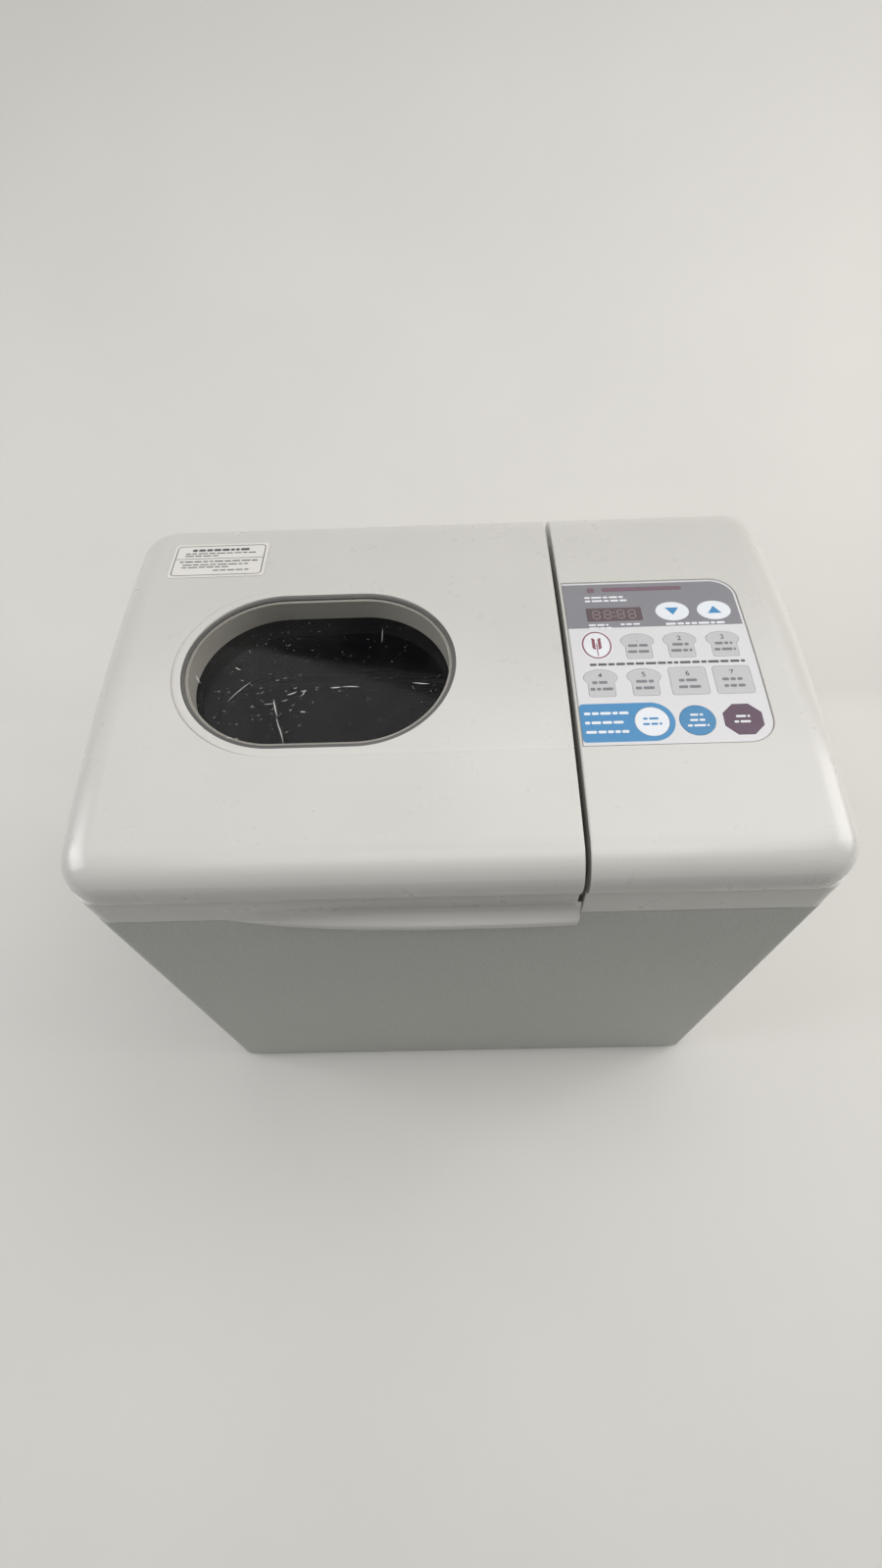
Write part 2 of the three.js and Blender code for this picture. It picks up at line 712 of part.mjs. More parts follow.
function basePan() {
  const inset = CASE_INSET + SHEET + GAP;
  const tray = prism(caseOutline(inset), FOOT_HEIGHT, 20);
  const hollow = prism(caseOutline(inset + 1.5), FOOT_HEIGHT + 2, FAR);
  const slots = [];
  for (let i = 0; i < 6; i += 1) {
    slots.push(prism(roundedBox(92 + 8 * i, 0, 3.4, 60, 1.6, 1), 0, FAR));
  }
  return cut(tray, [hollow, ...slots]);
}

function foot() {
  const top = FOOT_HEIGHT - GAP;
  const profile = [[0, 0], [9.5, 0], [11, 1.4], [11.6, top], [0, top]];
  const geometry = new THREE.LatheGeometry(profile.map(([r, z]) => new THREE.Vector2(r, z)), 20);
  geometry.rotateX(Math.PI / 2);
  return solidOf(geometry);
}

const DECK_BOTTOM = CASE_TOP - 3;

function hingePost(x) {
  const y0 = HINGE_Y - KNUCKLE_R;
  const y1 = HINGE_Y + KNUCKLE_R;
  const edge = CASE_FACE - SHEET - GAP;
  const profile = [
    ...arc(HINGE_Y, HINGE_Z, KNUCKLE_R, 0, Math.PI, 10),
    new THREE.Vector2(y0, DECK_BOTTOM),
    new THREE.Vector2(edge, DECK_BOTTOM),
    new THREE.Vector2(edge, CASE_TOP + GAP),
    new THREE.Vector2(y1, CASE_TOP + GAP),
  ];
  return barX(profile, x - POST_HALF, x + POST_HALF);
}

function topDeck() {
  const plate = prism(caseOutline(CASE_INSET + SHEET + GAP), DECK_BOTTOM, CASE_TOP);
  const ovenMouth = prism(roundedBox(OVEN.x, OVEN.y, OVEN.width, OVEN.depth, OVEN.corner, 4), 0, FAR);
  const wiring = prism(roundedBox(118, 0, 70, 120, 6, 3), 0, FAR);
  const deck = join([cut(plate, [ovenMouth, wiring]), ...HINGE_XS.map(hingePost)]);
  return cut(deck, HINGE_XS.map((x) => pinHole(x - POST_HALF - 1, x + POST_HALF + 1)));
}

function hingePin(x) {
  const half = POST_HALF + GAP + LUG_WIDTH;
  return barX(circle(HINGE_Y, HINGE_Z, PIN_R, 12), x - half, x + half);
}

function buildCase() {
  const housingCase = assembly();
  add(housingCase, 'base_pan', basePan(), DARK_PLASTIC);
  const footX = 128;
  const footY = 84;
  for (const [end, y] of [['front', -footY], ['rear', footY]]) {
    add(housingCase, `foot_${end}_left`, foot(), RUBBER, [-footX, y, 0]);
    add(housingCase, `foot_${end}_right`, foot(), RUBBER, [footX, y, 0]);
  }
  add(housingCase, 'case_wrap', caseWrap(), PAINTED);
  add(housingCase, 'rear_cover', rearCover(), OFF_WHITE);
  add(housingCase, 'cord_gland', cordGland(), DARK_PLASTIC);
  rearScrewPlaces().forEach(([x, z], i) => {
    add(housingCase, `rear_screw_${i + 1}`, rearScrew(), STEEL, [x, 0, z]);
  });
  add(housingCase, 'top_deck', topDeck(), OFF_WHITE);
  add(housingCase, 'hinge_pin_left', hingePin(HINGE_XS[0]), STEEL);
  add(housingCase, 'hinge_pin_right', hingePin(HINGE_XS[1]), STEEL);
}

// ---------- oven ----------

const ELEMENT = { halfX: 80, halfY: 73, z: 110, radius: 3.2, bend: 22, leadY: 12, leadX: 42 };
const SENSOR = { y: 42, z: 184, radius: 2.4 };
const COLLAR_R = 13;

function ovenLiner() {
  const shape = (inset, z) => ({
    x: OVEN.x,
    y: OVEN.y,
    halfWidth: OVEN.width / 2 - inset,
    halfDepth: OVEN.depth / 2 - inset,
    corner: OVEN.corner - inset,
    z,
  });
  const outer = loft([shape(0, OVEN.floor), shape(0, OVEN.top)]);
  const inner = loft([shape(OVEN.sheet, OVEN.floor + OVEN.sheet), shape(OVEN.sheet, OVEN.top + 1)]);
  const flange = prism(
    roundedBox(OVEN.x, OVEN.y, OVEN.width + 14, OVEN.depth + 14, OVEN.corner + 7),
    OVEN.top - OVEN.sheet,
    OVEN.top,
  );
  const collarHole = rod(OVEN.x, OVEN.y, COLLAR_R + GAP, 0, OVEN.floor + 5);
  const leadHole = (y) => barX(circle(y, ELEMENT.z, ELEMENT.radius + GAP, 12), 0, FAR);
  const leads = [leadHole(OVEN.y - ELEMENT.leadY), leadHole(OVEN.y + ELEMENT.leadY)];
  const probe = barX(circle(SENSOR.y, SENSOR.z, SENSOR.radius + GAP, 12), 0, FAR);
  return cut(outer.add(flange), [inner, collarHole, ...leads, probe]);
}

// The element is an open loop around the pan; both leads leave through the right wall.
function heatingElement() {
  const { halfX, halfY, z, bend, leadY, leadX } = ELEMENT;
  const lead = 8;
  const path = new THREE.CurvePath();
  const at = (x, y) => new THREE.Vector3(OVEN.x + x, OVEN.y + y, z);
  const start = leadX - OVEN.x;
  const corner = (from, middle, to) => {
    path.add(new THREE.QuadraticBezierCurve3(at(...from), at(...middle), at(...to)));
  };
  const line = (from, to) => path.add(new THREE.LineCurve3(at(...from), at(...to)));
  line([start, leadY], [halfX + lead, leadY]);
  corner([halfX + lead, leadY], [halfX, leadY], [halfX, leadY + lead]);
  line([halfX, leadY + lead], [halfX, halfY - bend]);
  corner([halfX, halfY - bend], [halfX, halfY], [halfX - bend, halfY]);
  line([halfX - bend, halfY], [-halfX + bend, halfY]);
  corner([-halfX + bend, halfY], [-halfX, halfY], [-halfX, halfY - bend]);
  line([-halfX, halfY - bend], [-halfX, -halfY + bend]);
  corner([-halfX, -halfY + bend], [-halfX, -halfY], [-halfX + bend, -halfY]);
  line([-halfX + bend, -halfY], [halfX - bend, -halfY]);
  corner([halfX - bend, -halfY], [halfX, -halfY], [halfX, -halfY + bend]);
  line([halfX, -halfY + bend], [halfX, -leadY - lead]);
  corner([halfX, -leadY - lead], [halfX, -leadY], [halfX + lead, -leadY]);
  line([halfX + lead, -leadY], [start, -leadY]);
  return tube(path, ELEMENT.radius, 56, 6);
}

function temperatureSensor() {
  const wall = OVEN.x + OVEN.width / 2;
  const probe = barX(circle(SENSOR.y, SENSOR.z, SENSOR.radius, 12), wall - 12, wall + 10);
  return probe.add(barX(roundedBox(SENSOR.y, SENSOR.z, 16, 9, 3, 2), wall + GAP, wall + 3));
}

function panClip() {
  const floor = OVEN.floor + OVEN.sheet + GAP;
  const flange = [[50.2, floor], [58, floor], [58, floor + 1.2]];
  const collar = [[52, floor + 1.2], [52, floor + 9], [50.2, floor + 9]];
  const seat = revolve([...flange, ...collar], OVEN.x, OVEN.y, 24);
  const openings = [0, 1, 2].map((i) => {
    const angle = Math.PI / 6 + 2 * Math.PI * i / 3;
    const x = OVEN.x + 52 * Math.cos(angle);
    const y = OVEN.y + 52 * Math.sin(angle);
    return rod(x, y, 11, floor + 1.2, FAR, 12);
  });
  return cut(seat, openings);
}

function compartmentWall() {
  const x = 50;
  const plate = box([x, -106, 44], [x + SHEET, 106, OVEN.top - 6]);
  const foot = box([x, -106, 44], [x + 12, 106, 44 + SHEET]);
  const slot = roundedBox(70, 0, 26, 40, 5, 3);
  return cut(join([plate, foot]), [barX(slot.map((p) => new THREE.Vector2(p.y, p.x)).reverse(), 0, FAR)]);
}

function buildOven() {
  const oven = assembly();
  add(oven, 'oven_liner', ovenLiner(), STEEL);
  add(oven, 'heating_element', heatingElement(), STEEL);
  add(oven, 'temperature_sensor', temperatureSensor(), STEEL);
  add(oven, 'pan_clip', panClip(), STEEL);
  add(oven, 'compartment_wall', compartmentWall(), STEEL);
}

// ---------- pan, bail, paddle ----------

function panLevel(grow, z) {
  const share = (z - PAN.bottom) / (PAN.top - PAN.bottom);
  const inset = PAN.draft * (1 - share) - grow;
  return {
    x: OVEN.x,
    y: OVEN.y,
    halfWidth: PAN.width / 2 - inset,
    halfDepth: PAN.depth / 2 - inset,
    corner: PAN.corner - inset,
    z,
  };
}

function breadPan() {
  const outer = loft([panLevel(-4, PAN.bottom), panLevel(0, PAN.bottom + 4), panLevel(0, PAN.top)], 5);
  const rim = loft([panLevel(PAN.rim, PAN.top - 2), panLevel(PAN.rim, PAN.top)], 5);
  const floor = PAN.bottom + 2;
  const inner = loft([
    panLevel(-PAN.wall - 4, floor),
    panLevel(-PAN.wall, floor + 4),
    panLevel(-PAN.wall, PAN.top + 1),
  ], 5);
  const boss = rod(OVEN.x, OVEN.y, 9, PAN.bottom, PAN.bottom + 6);
  const bore = rod(OVEN.x, OVEN.y, ROTOR_SHAFT_R + GAP, 0, PAN.bottom + 20, 12);
  const ears = [-1, 1].map((side) => {
    const inside = OVEN.x + side * (PAN.width / 2 - 1.2);
    const outside = OVEN.x + side * (PAN.width / 2 + 7);
    return barX(circle(OVEN.y, BAIL.z, 2, 10), Math.min(inside, outside), Math.max(inside, outside));
  });
  return cut(join([cut(join([outer, rim]), [inner]), boss, ...ears]), [bore]);
}

function panBase() {
  const bottom = OVEN.floor + OVEN.sheet + GAP;
  const top = PAN.bottom - GAP;
  const profile = [
    [46, bottom],
    [48, bottom],
    [48, top - 1.5],
    [54, top - 1.5],
    [54, top],
    [20, top],
    [20, top - 1.5],
    [46, top - 1.5],
  ];
  return revolve(profile, OVEN.x, OVEN.y, 24);
}

// The bail lies on the rear rim at rest, just above it.
const BAIL_REST_RISE = PAN.top + GAP + BAIL.wire - BAIL.z;

function bailHandle() {
  const side = PAN.width / 2 + PAN.rim + BAIL.wire + 2 * GAP;
  const run = Math.sqrt(BAIL.arm ** 2 - BAIL_REST_RISE ** 2);
  const bend = 10;
  const at = (x, along) => new THREE.Vector3(
    OVEN.x + x,
    OVEN.y + run * along / BAIL.arm,
    BAIL.z + BAIL_REST_RISE * along / BAIL.arm,
  );
  const path = new THREE.CurvePath();
  const line = (from, to) => path.add(new THREE.LineCurve3(from, to));
  const corner = (from, middle, to) => path.add(new THREE.QuadraticBezierCurve3(from, middle, to));
  line(at(-side, -3), at(-side, BAIL.arm - bend));
  corner(at(-side, BAIL.arm - bend), at(-side, BAIL.arm), at(-side + bend, BAIL.arm));
  line(at(-side + bend, BAIL.arm), at(side - bend, BAIL.arm));
  corner(at(side - bend, BAIL.arm), at(side, BAIL.arm), at(side, BAIL.arm - bend));
  line(at(side, BAIL.arm - bend), at(side, -3));
  const wire = tube(path, BAIL.wire, 28, 6);
  const eyes = [-1, 1].map((s) => {
    const x = OVEN.x + s * side;
    return barX(circle(OVEN.y, BAIL.z, 4.4, 14), x - 1.2, x + 1.2);
  });
  return cut(join([wire, ...eyes]), [barX(circle(OVEN.y, BAIL.z, 2 + GAP, 12), -FAR, FAR)]);
}

const COUPLING = { discTop: 112, discBottom: 107, pegBottom: 99.8, pegRing: 9.4, pegR: 2.4 };

function panShaft() {
  return rod(OVEN.x, OVEN.y, ROTOR_SHAFT_R, COUPLING.discBottom - 1, PAN.bottom + 32, 12);
}

function panCoupling() {
  const disc = rod(OVEN.x, OVEN.y, 14, COUPLING.discBottom, COUPLING.discTop, 20);
  const pegs = [-1, 1].map((s) => (
    rod(OVEN.x, OVEN.y + s * COUPLING.pegRing, COUPLING.pegR, COUPLING.pegBottom, COUPLING.discBottom + 1, 10)
  ));
  return cut(join([disc, ...pegs]), [rod(OVEN.x, OVEN.y, ROTOR_SHAFT_R + GAP, 0, FAR, 12)]);
}

function kneadingPaddle() {
  const bottom = PAN.bottom + 6 + 2 * GAP;
  const hub = revolve([[0, bottom], [11, bottom], [9, bottom + 24], [6, bottom + 30], [0, bottom + 30]],
    OVEN.x, OVEN.y, 20);
  const bladeOutline = [
    new THREE.Vector2(0, bottom),
    new THREE.Vector2(44, bottom),
    new THREE.Vector2(48, bottom + 4),
    ...arc(34, bottom + 14, 12, 0, Math.PI / 2, 4),
    new THREE.Vector2(0, bottom + 20),
  ].map((p) => new THREE.Vector2(p.y, OVEN.x + p.x));
  const blade = barY(bladeOutline.reverse(), OVEN.y - 2, OVEN.y + 2);
  const bore = rod(OVEN.x, OVEN.y, ROTOR_SHAFT_R + GAP, 0, PAN.bottom + 32 + GAP, 12);
  return cut(join([hub, blade]), [bore]);
}

function buildPan() {
  const pan = assembly();
  add(pan, 'bread_pan', breadPan(), NON_STICK);
  add(pan, 'pan_base', panBase(), ALUMINIUM);
  add(pan, 'bail_handle', bailHandle(), STEEL);
  add(pan, 'pan_shaft', panShaft(), STEEL);
  add(pan, 'pan_coupling', panCoupling(), ALUMINIUM);
  add(pan, 'kneading_paddle', kneadingPaddle(), NON_STICK);
}

// ---------- belt drive and motor ----------

function pulley(radius, bore, x, y) {
  const flange = radius + 3.5;
  const lip = 1.7;
  const profile = [
    [bore + GAP, PULLEY_Z],
    [flange, PULLEY_Z],
    [flange, PULLEY_Z + lip],
    [radius, PULLEY_Z + lip],
    [radius, PULLEY_Z + PULLEY_H - lip],
    [flange, PULLEY_Z + PULLEY_H - lip],
    [flange, PULLEY_Z + PULLEY_H],
    [bore + GAP, PULLEY_Z + PULLEY_H],
  ];
  return revolve(profile, x, y, radius > 20 ? 30 : 14);
}

function largePulley() {
  const windows = [0, 1, 2, 3].map((i) => {
    const angle = Math.PI / 4 + Math.PI / 2 * i;
    return rod(OVEN.x + 28 * Math.cos(angle), OVEN.y + 28 * Math.sin(angle), 12, 0, FAR, 12);
  });
  return cut(pulley(LARGE_R, SHAFT_R, OVEN.x, OVEN.y), windows);
}

// The belt's outline is the outer tangent loop round the two pulleys.
function beltLoop(grow) {
  const dx = MOTOR.x - OVEN.x;
  const dy = MOTOR.y - OVEN.y;
  const along = Math.atan2(dy, dx);
  const lean = Math.acos((LARGE_R - SMALL_R) / Math.hypot(dx, dy));
  return [
    ...arc(OVEN.x, OVEN.y, LARGE_R + grow, along + lean, along + 2 * Math.PI - lean, 18),
    ...arc(MOTOR.x, MOTOR.y, SMALL_R + grow, along - lean, along + lean, 8),
  ];
}

function driveBelt() {
  const bottom = PULLEY_Z + 2;
  const top = PULLEY_Z + PULLEY_H - 2;
  return prism(beltLoop(GAP + BELT_T), bottom, top).subtract(prism(beltLoop(GAP), 0, FAR));
}

function driveShaft() {
  const shaft = rod(OVEN.x, OVEN.y, SHAFT_R, PULLEY_Z - 3, 100);
  const dog = box([OVEN.x - 11, OVEN.y - 3, 99], [OVEN.x + 11, OVEN.y + 3, 105]);
  return shaft.add(dog);
}

function driveBearingHousing() {
  const bore = SHAFT_R + GAP;
  const under = OVEN.floor - GAP;
  const profile = [
    [bore, 40],
    [14, 40],
    [15, under - 8],
    [32, under - 3],
    [32, under],
    [COLLAR_R, under],
    [COLLAR_R, OVEN.floor + 4],
    [bore, OVEN.floor + 4],
  ];
  return revolve(profile, OVEN.x, OVEN.y, 24);
}

function motorStator() {
  const { x, y, bottom, core, bore } = MOTOR;
  const laminations = prism(roundedBox(x, y, core, core, 5, 2), bottom + 8, bottom + 36);
  const coils = rod(x, y, core / 2 - 6, bottom, bottom + 44, 20);
  return cut(join([laminations, coils]), [rod(x, y, bore, 0, FAR, 20)]);
}

function motorRotor() {
  const { x, y, bottom, bore } = MOTOR;
  const core = rod(x, y, bore - 0.8, bottom + 9, bottom + 35, 20);
  return core.add(rod(x, y, ROTOR_SHAFT_R, PULLEY_Z - 3, bottom + 62, 12));
}

function motorFan() {
  const { x, y, bottom } = MOTOR;
  const z = bottom + 49;
  const blades = [];
  const count = 7;
  for (let i = 0; i < count; i += 1) {
    const blade = new THREE.BoxGeometry(27, 2, 9);
    blade.translate(18.5, 0, z + 4.5);
    blade.rotateZ(2 * Math.PI * i / count);
    blade.translate(x, y, 0);
    blades.push(solidOf(blade));
  }
  const disc = rod(x, y, 30, z, z + 1.4, 18);
  const hub = rod(x, y, 9, z, z + 10, 14);
  return cut(join([hub, disc, ...blades]), [rod(x, y, ROTOR_SHAFT_R + GAP, 0, FAR, 12)]);
}

function motorBracket() {
  const { x, y, bottom } = MOTOR;
  const top = bottom - GAP;
  const half = 42;
  const plate = prism(roundedBox(x, y, 2 * half, 2 * half, 6, 3), top - 2.5, top);
  const legs = [[-1, -1], [-1, 1], [1, -1], [1, 1]].map(([sx, sy]) => {
    const cx = x + sx * (half - 6);
    const cy = y + sy * (half - 6);
    return box([cx - 4, cy - 4, FOOT_HEIGHT + 2 + GAP], [cx + 4, cy + 4, top - 1]);
  });
  return cut(join([plate, ...legs]), [rod(x, y, 11, 0, FAR, 16)]);
}

function motorCapacitor() {
  const profile = [[0, 30], [15, 30], [15, 80], [13.5, 82], [0, 82]];
  const can = revolve(profile, 138, 78, 20);
  return can.add(box([126, 66, FOOT_HEIGHT + 2 + GAP], [150, 90, 34]));
}

function powerBoard() {
  const wall = HALF_WIDTH - CASE_INSET - SHEET - 6;
  const plate = box([wall - 1.6, -66, 118], [wall, 54, 238]);
  const transformer = box([wall - 38, -56, 130], [wall - 1, -12, 172]);
  const relay = box([wall - 18, 10, 140], [wall - 1, 30, 164]);
  const heatSink = box([wall - 26, 8, 190], [wall - 1, 40, 226]);
  const fuse = box([wall - 10, -50, 196], [wall - 1, -20, 206]);
  return join([plate, transformer, relay, heatSink, fuse]);
}

function buildDrive() {
  const drive = assembly();
  add(drive, 'drive_bearing_housing', driveBearingHousing(), ALUMINIUM);
  add(drive, 'drive_shaft', driveShaft(), STEEL);
  add(drive, 'large_pulley', largePulley(), DARK_PLASTIC);
  add(drive, 'small_pulley', pulley(SMALL_R, ROTOR_SHAFT_R, MOTOR.x, MOTOR.y), DARK_PLASTIC);
  add(drive, 'drive_belt', driveBelt(), RUBBER);
  add(drive, 'motor_bracket', motorBracket(), STEEL);
  add(drive, 'motor_stator', motorStator(), COPPER);
  add(drive, 'motor_rotor', motorRotor(), STEEL);
  add(drive, 'motor_fan', motorFan(), DARK_PLASTIC);
  add(drive, 'motor_capacitor', motorCapacitor(), ALUMINIUM);
  add(drive, 'power_board', powerBoard(), CIRCUIT);
}

buildCase();
buildOven();
buildDrive();
buildPan();
buildPanel();
buildLid();

export default group;
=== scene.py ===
import math
import random

import bmesh
import bpy
from mathutils import Matrix, Vector


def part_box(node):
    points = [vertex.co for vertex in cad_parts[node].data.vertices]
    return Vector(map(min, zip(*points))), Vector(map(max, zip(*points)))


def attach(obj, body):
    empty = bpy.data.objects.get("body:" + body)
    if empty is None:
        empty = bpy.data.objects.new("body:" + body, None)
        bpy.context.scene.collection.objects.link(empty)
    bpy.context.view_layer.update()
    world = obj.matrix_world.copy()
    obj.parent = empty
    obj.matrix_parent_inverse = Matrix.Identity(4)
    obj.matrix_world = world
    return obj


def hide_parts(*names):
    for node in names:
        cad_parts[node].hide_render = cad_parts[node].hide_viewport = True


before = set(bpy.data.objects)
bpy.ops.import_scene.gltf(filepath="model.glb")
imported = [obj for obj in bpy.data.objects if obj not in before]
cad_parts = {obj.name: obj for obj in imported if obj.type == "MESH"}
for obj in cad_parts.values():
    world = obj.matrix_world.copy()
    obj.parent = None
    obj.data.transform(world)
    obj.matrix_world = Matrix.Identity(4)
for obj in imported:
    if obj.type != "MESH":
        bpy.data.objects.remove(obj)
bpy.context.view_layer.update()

# ---------- sizes, in metres: the frame gives the places, the rest are details ----------

MM = 0.001


def middle(low, high):
    """The middle of a box, from its two corners."""
    return [(a + b) / 2 for a, b in zip(low, high)]


def spans(low, high):
    """The width, depth and height of a box."""
    return [b - a for a, b in zip(low, high)]


cover_low, cover_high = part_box("control_cover")
lid_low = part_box("lid_shell")[0]
case_low, case_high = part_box("case_wrap")
film_low, film_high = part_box("panel_film")
display_low, display_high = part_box("display_lens")
label_low, label_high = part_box("lid_label")
liner_low, liner_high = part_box("oven_liner")
pan_low, pan_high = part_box("bread_pan")
plate_low, plate_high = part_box("lid_inner_plate")
deck_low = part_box("top_deck")[0]
well_low, well_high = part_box("window_well")
rear_low, rear_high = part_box("rear_cover")
gland_low, gland_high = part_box("cord_gland")

HALF_WIDTH = cover_high.x
HALF_DEPTH = cover_high.y
HEIGHT = cover_high.z
LID_BOTTOM = cover_low.z
COVER_EDGE = cover_low.x
LID_EDGE = COVER_EDGE - 2.6 * MM
LIP_EDGE = COVER_EDGE - 0.6 * MM
REACH = -lid_low.y
CASE_SIDE = case_high.x
CASE_FACE = case_high.y
CASE_TOP = case_high.z
CASE_BOTTOM = case_low.z

CROWN = 8.2 * MM
EDGE_IN = 18.8 * MM
EDGE_DOWN = 14.6 * MM
CORNER = 21 * MM
BAND_INSET = 2.6 * MM
BAND_CORNER = 10 * MM
BAND_FACE = HALF_DEPTH - BAND_INSET
BAND_TOP = 318 * MM
WIDEST = HEIGHT - EDGE_DOWN
WALL = 2.5 * MM
GAP = 0.3 * MM
SHEET = 1.2 * MM
FAR = 0.5

WELL_IN = 2.4 * MM
WINDOW_X, WINDOW_Y = middle(well_low, well_high)[:2]
WINDOW_R = (well_high.y - well_low.y) / 2 + WELL_IN
WINDOW_LENGTH = well_high.x - well_low.x + 2 * WELL_IN
RECESS_RIM = 4.6 * MM
RECESS_DEPTH = 1.2 * MM
GASKET_WIDTH = 1.6 * MM

HINGE_Y = HALF_DEPTH - 6.7 * MM
PIN_R = 2 * MM
HINGE_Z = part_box("hinge_pin_left")[0].z + PIN_R
HINGE_XS = [middle(*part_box(f"hinge_pin_{side}"))[0] for side in ("left", "right")]
KNUCKLE_R = 4 * MM
POST_HALF = 6 * MM
LUG_WIDTH = 4 * MM

FILM_TOP = 0.4 * MM
FILM_DEPTH = 0.9 * MM
FILM_CORNER = 12.5 * MM
POCKET_DEPTH = 1.2 * MM
PRINT_T = 0.05 * MM
PRINT_PROUD = 0.03 * MM

OVEN_X, OVEN_Y = middle(pan_low, pan_high)[:2]
OVEN_CORNER = 24 * MM
SHAFT_BORE = 4.3 * MM
BAIL_PIVOT_Z = 256 * MM


# ---------- outlines: lists of (u, v) pairs, anticlockwise ----------

def quarter(steps):
    """The angles of a quarter turn in equal steps, without its start."""
    return [math.radians(90 * i / steps) for i in range(1, steps + 1)]


def arc(u, v, radius, start, end, steps):
    points = []
    for i in range(steps + 1):
        angle = math.radians(start + (end - start) * i / steps)
        points.append((u + radius * math.cos(angle), v + radius * math.sin(angle)))
    return points


def circle(u, v, radius, steps=48):
    return arc(u, v, radius, 0, 360, steps)[:-1]


def ellipse(u, v, half_u, half_v, steps=56):
    return [(u + half_u * a, v + half_v * b) for a, b in circle(0, 0, 1, steps)]


def rounded_box(u, v, width, height, radius, steps=6):
    points = []
    corners = [(1, 1), (-1, 1), (-1, -1), (1, -1)]
    for i, (su, sv) in enumerate(corners):
        cu = u + su * (width / 2 - radius)
        cv = v + sv * (height / 2 - radius)
        points += arc(cu, cv, radius, 90 * i, 90 * (i + 1), steps)
    return points


def stadium(grow, steps=48):
    radius = WINDOW_R + grow
    offset = WINDOW_LENGTH / 2 - WINDOW_R
    right = arc(WINDOW_X + offset, WINDOW_Y, radius, -90, 90, steps)
    return right + arc(WINDOW_X - offset, WINDOW_Y, radius, 90, 270, steps)


def film_outline(grow):
    radius = FILM_CORNER + grow
    cx = film_high.x - FILM_CORNER
    points = [(film_low.x - grow, film_low.y - grow)]
    points += arc(cx, film_low.y + FILM_CORNER, radius, -90, 0, 12)
    points += arc(cx, film_high.y - FILM_CORNER, radius, 0, 90, 12)
    return points + [(film_low.x - grow, film_high.y + grow)]


def between(outer, inner):
    """The strip between two outlines of equal count, as four-sided outlines that meet."""
    count = len(outer)
    strip = []
    for i in range(count):
        j = (i + 1) % count
        strip.append([outer[i], outer[j], inner[j], inner[i]])
    return strip


# ---------- meshes ----------

def new_object(name, bm):
    mesh = bpy.data.meshes.new(name)
    bm.to_mesh(mesh)
    bm.free()
    obj = bpy.data.objects.new(name, mesh)
    bpy.context.scene.collection.objects.link(obj)
    return obj


def add_skin(bm, rings, caps=True, closed=False):
    """Quads between rings of equal count; the ends are capped, or the last ring joins the first."""
    rows = [[bm.verts.new(p) for p in ring] for ring in rings]
    pairs = list(zip(rows, rows[1:]))
    if closed:
        pairs.append((rows[-1], rows[0]))
    count = len(rows[0])
    for low, high in pairs:
        for i in range(count):
            j = (i + 1) % count
            bm.faces.new((low[i], low[j], high[j], high[i]))
    if caps and not closed:
        bm.faces.new(list(reversed(rows[0])))
        bm.faces.new(rows[-1])


def skin(name, rings, caps=True, closed=False):
    bm = bmesh.new()
    add_skin(bm, rings, caps, closed)
    bmesh.ops.recalc_face_normals(bm, faces=bm.faces)
    return new_object(name, bm)


AXES = {"X": lambda u, v, w: (w, u, v), "Y": lambda u, v, w: (u, w, v), "Z": lambda u, v, w: (u, v, w)}


def bars(name, outlines, low, high, axis="Z"):
    """One object of straight bars along an axis, one for each outline."""
    place = AXES[axis]
    bm = bmesh.new()
    for outline in outlines:
        add_skin(bm, [[place(u, v, w) for u, v in outline] for w in (low, high)])
    bmesh.ops.recalc_face_normals(bm, faces=bm.faces)
    return new_object(name, bm)


def through_top(name, outlines):
    """Bars that reach well above and below the housing's top, to cut with."""
    return bars(name, outlines, HEIGHT - 20 * MM, HEIGHT + 20 * MM)


def turned(name, profile, centre, axis="Z", steps=64, closed=False):
    """A solid of revolution; the profile is (radius, distance along the axis) pairs."""
    place = AXES[axis]
    bm = bmesh.new()
    rings = []
    for radius, along in profile:
        ring = circle(0, 0, max(radius, 1e-6), steps)
        rings.append([Vector(place(u, v, along)) + Vector(centre) for u, v in ring])
    add_skin(bm, rings, caps=not closed, closed=closed)
    bmesh.ops.remove_doubles(bm, verts=bm.verts, dist=3e-6)
    bmesh.ops.recalc_face_normals(bm, faces=bm.faces)
    return new_object(name, bm)


def bend_path(corners, radius, steps=8):
    """A polyline with each inner corner rounded by a quadratic curve of that reach."""
    points = [Vector(corners[0])]
    for before, here, after in zip(corners, corners[1:], corners[2:]):
        here = Vector(here)
        start = here + (Vector(before) - here).normalized() * radius
        end = here + (Vector(after) - here).normalized() * radius
        for i in range(steps + 1):
            t = i / steps
            points.append(start * (1 - t) ** 2 + here * 2 * t * (1 - t) + end * t ** 2)
    points.append(Vector(corners[-1]))
    return points


def tube(name, points, radius, sides=20):
    rings = []
    normal = None
    for i, point in enumerate(points):
        ahead = points[min(i + 1, len(points) - 1)] - points[max(i - 1, 0)]
        tangent = ahead.normalized()
        if normal is None:
            normal = tangent.orthogonal().normalized()
        normal = (normal - tangent * normal.dot(tangent)).normalized()
        side = tangent.cross(normal)
        rings.append([point + normal * u + side * v for u, v in circle(0, 0, radius, sides)])
    return skin(name, rings)


def apply_modifiers(obj):
    depsgraph = bpy.context.evaluated_depsgraph_get()
    mesh = bpy.data.meshes.new_from_object(obj.evaluated_get(depsgraph))
    old = obj.data
    obj.modifiers.clear()
    obj.data = mesh
    bpy.data.meshes.remove(old)


def boolean(target, cutter, operation="DIFFERENCE"):
    modifier = target.modifiers.new("boolean", "BOOLEAN")
    modifier.object = cutter
    modifier.operation = operation
    modifier.solver = "EXACT"
    apply_modifiers(target)
    bpy.data.objects.remove(cutter)
    return target


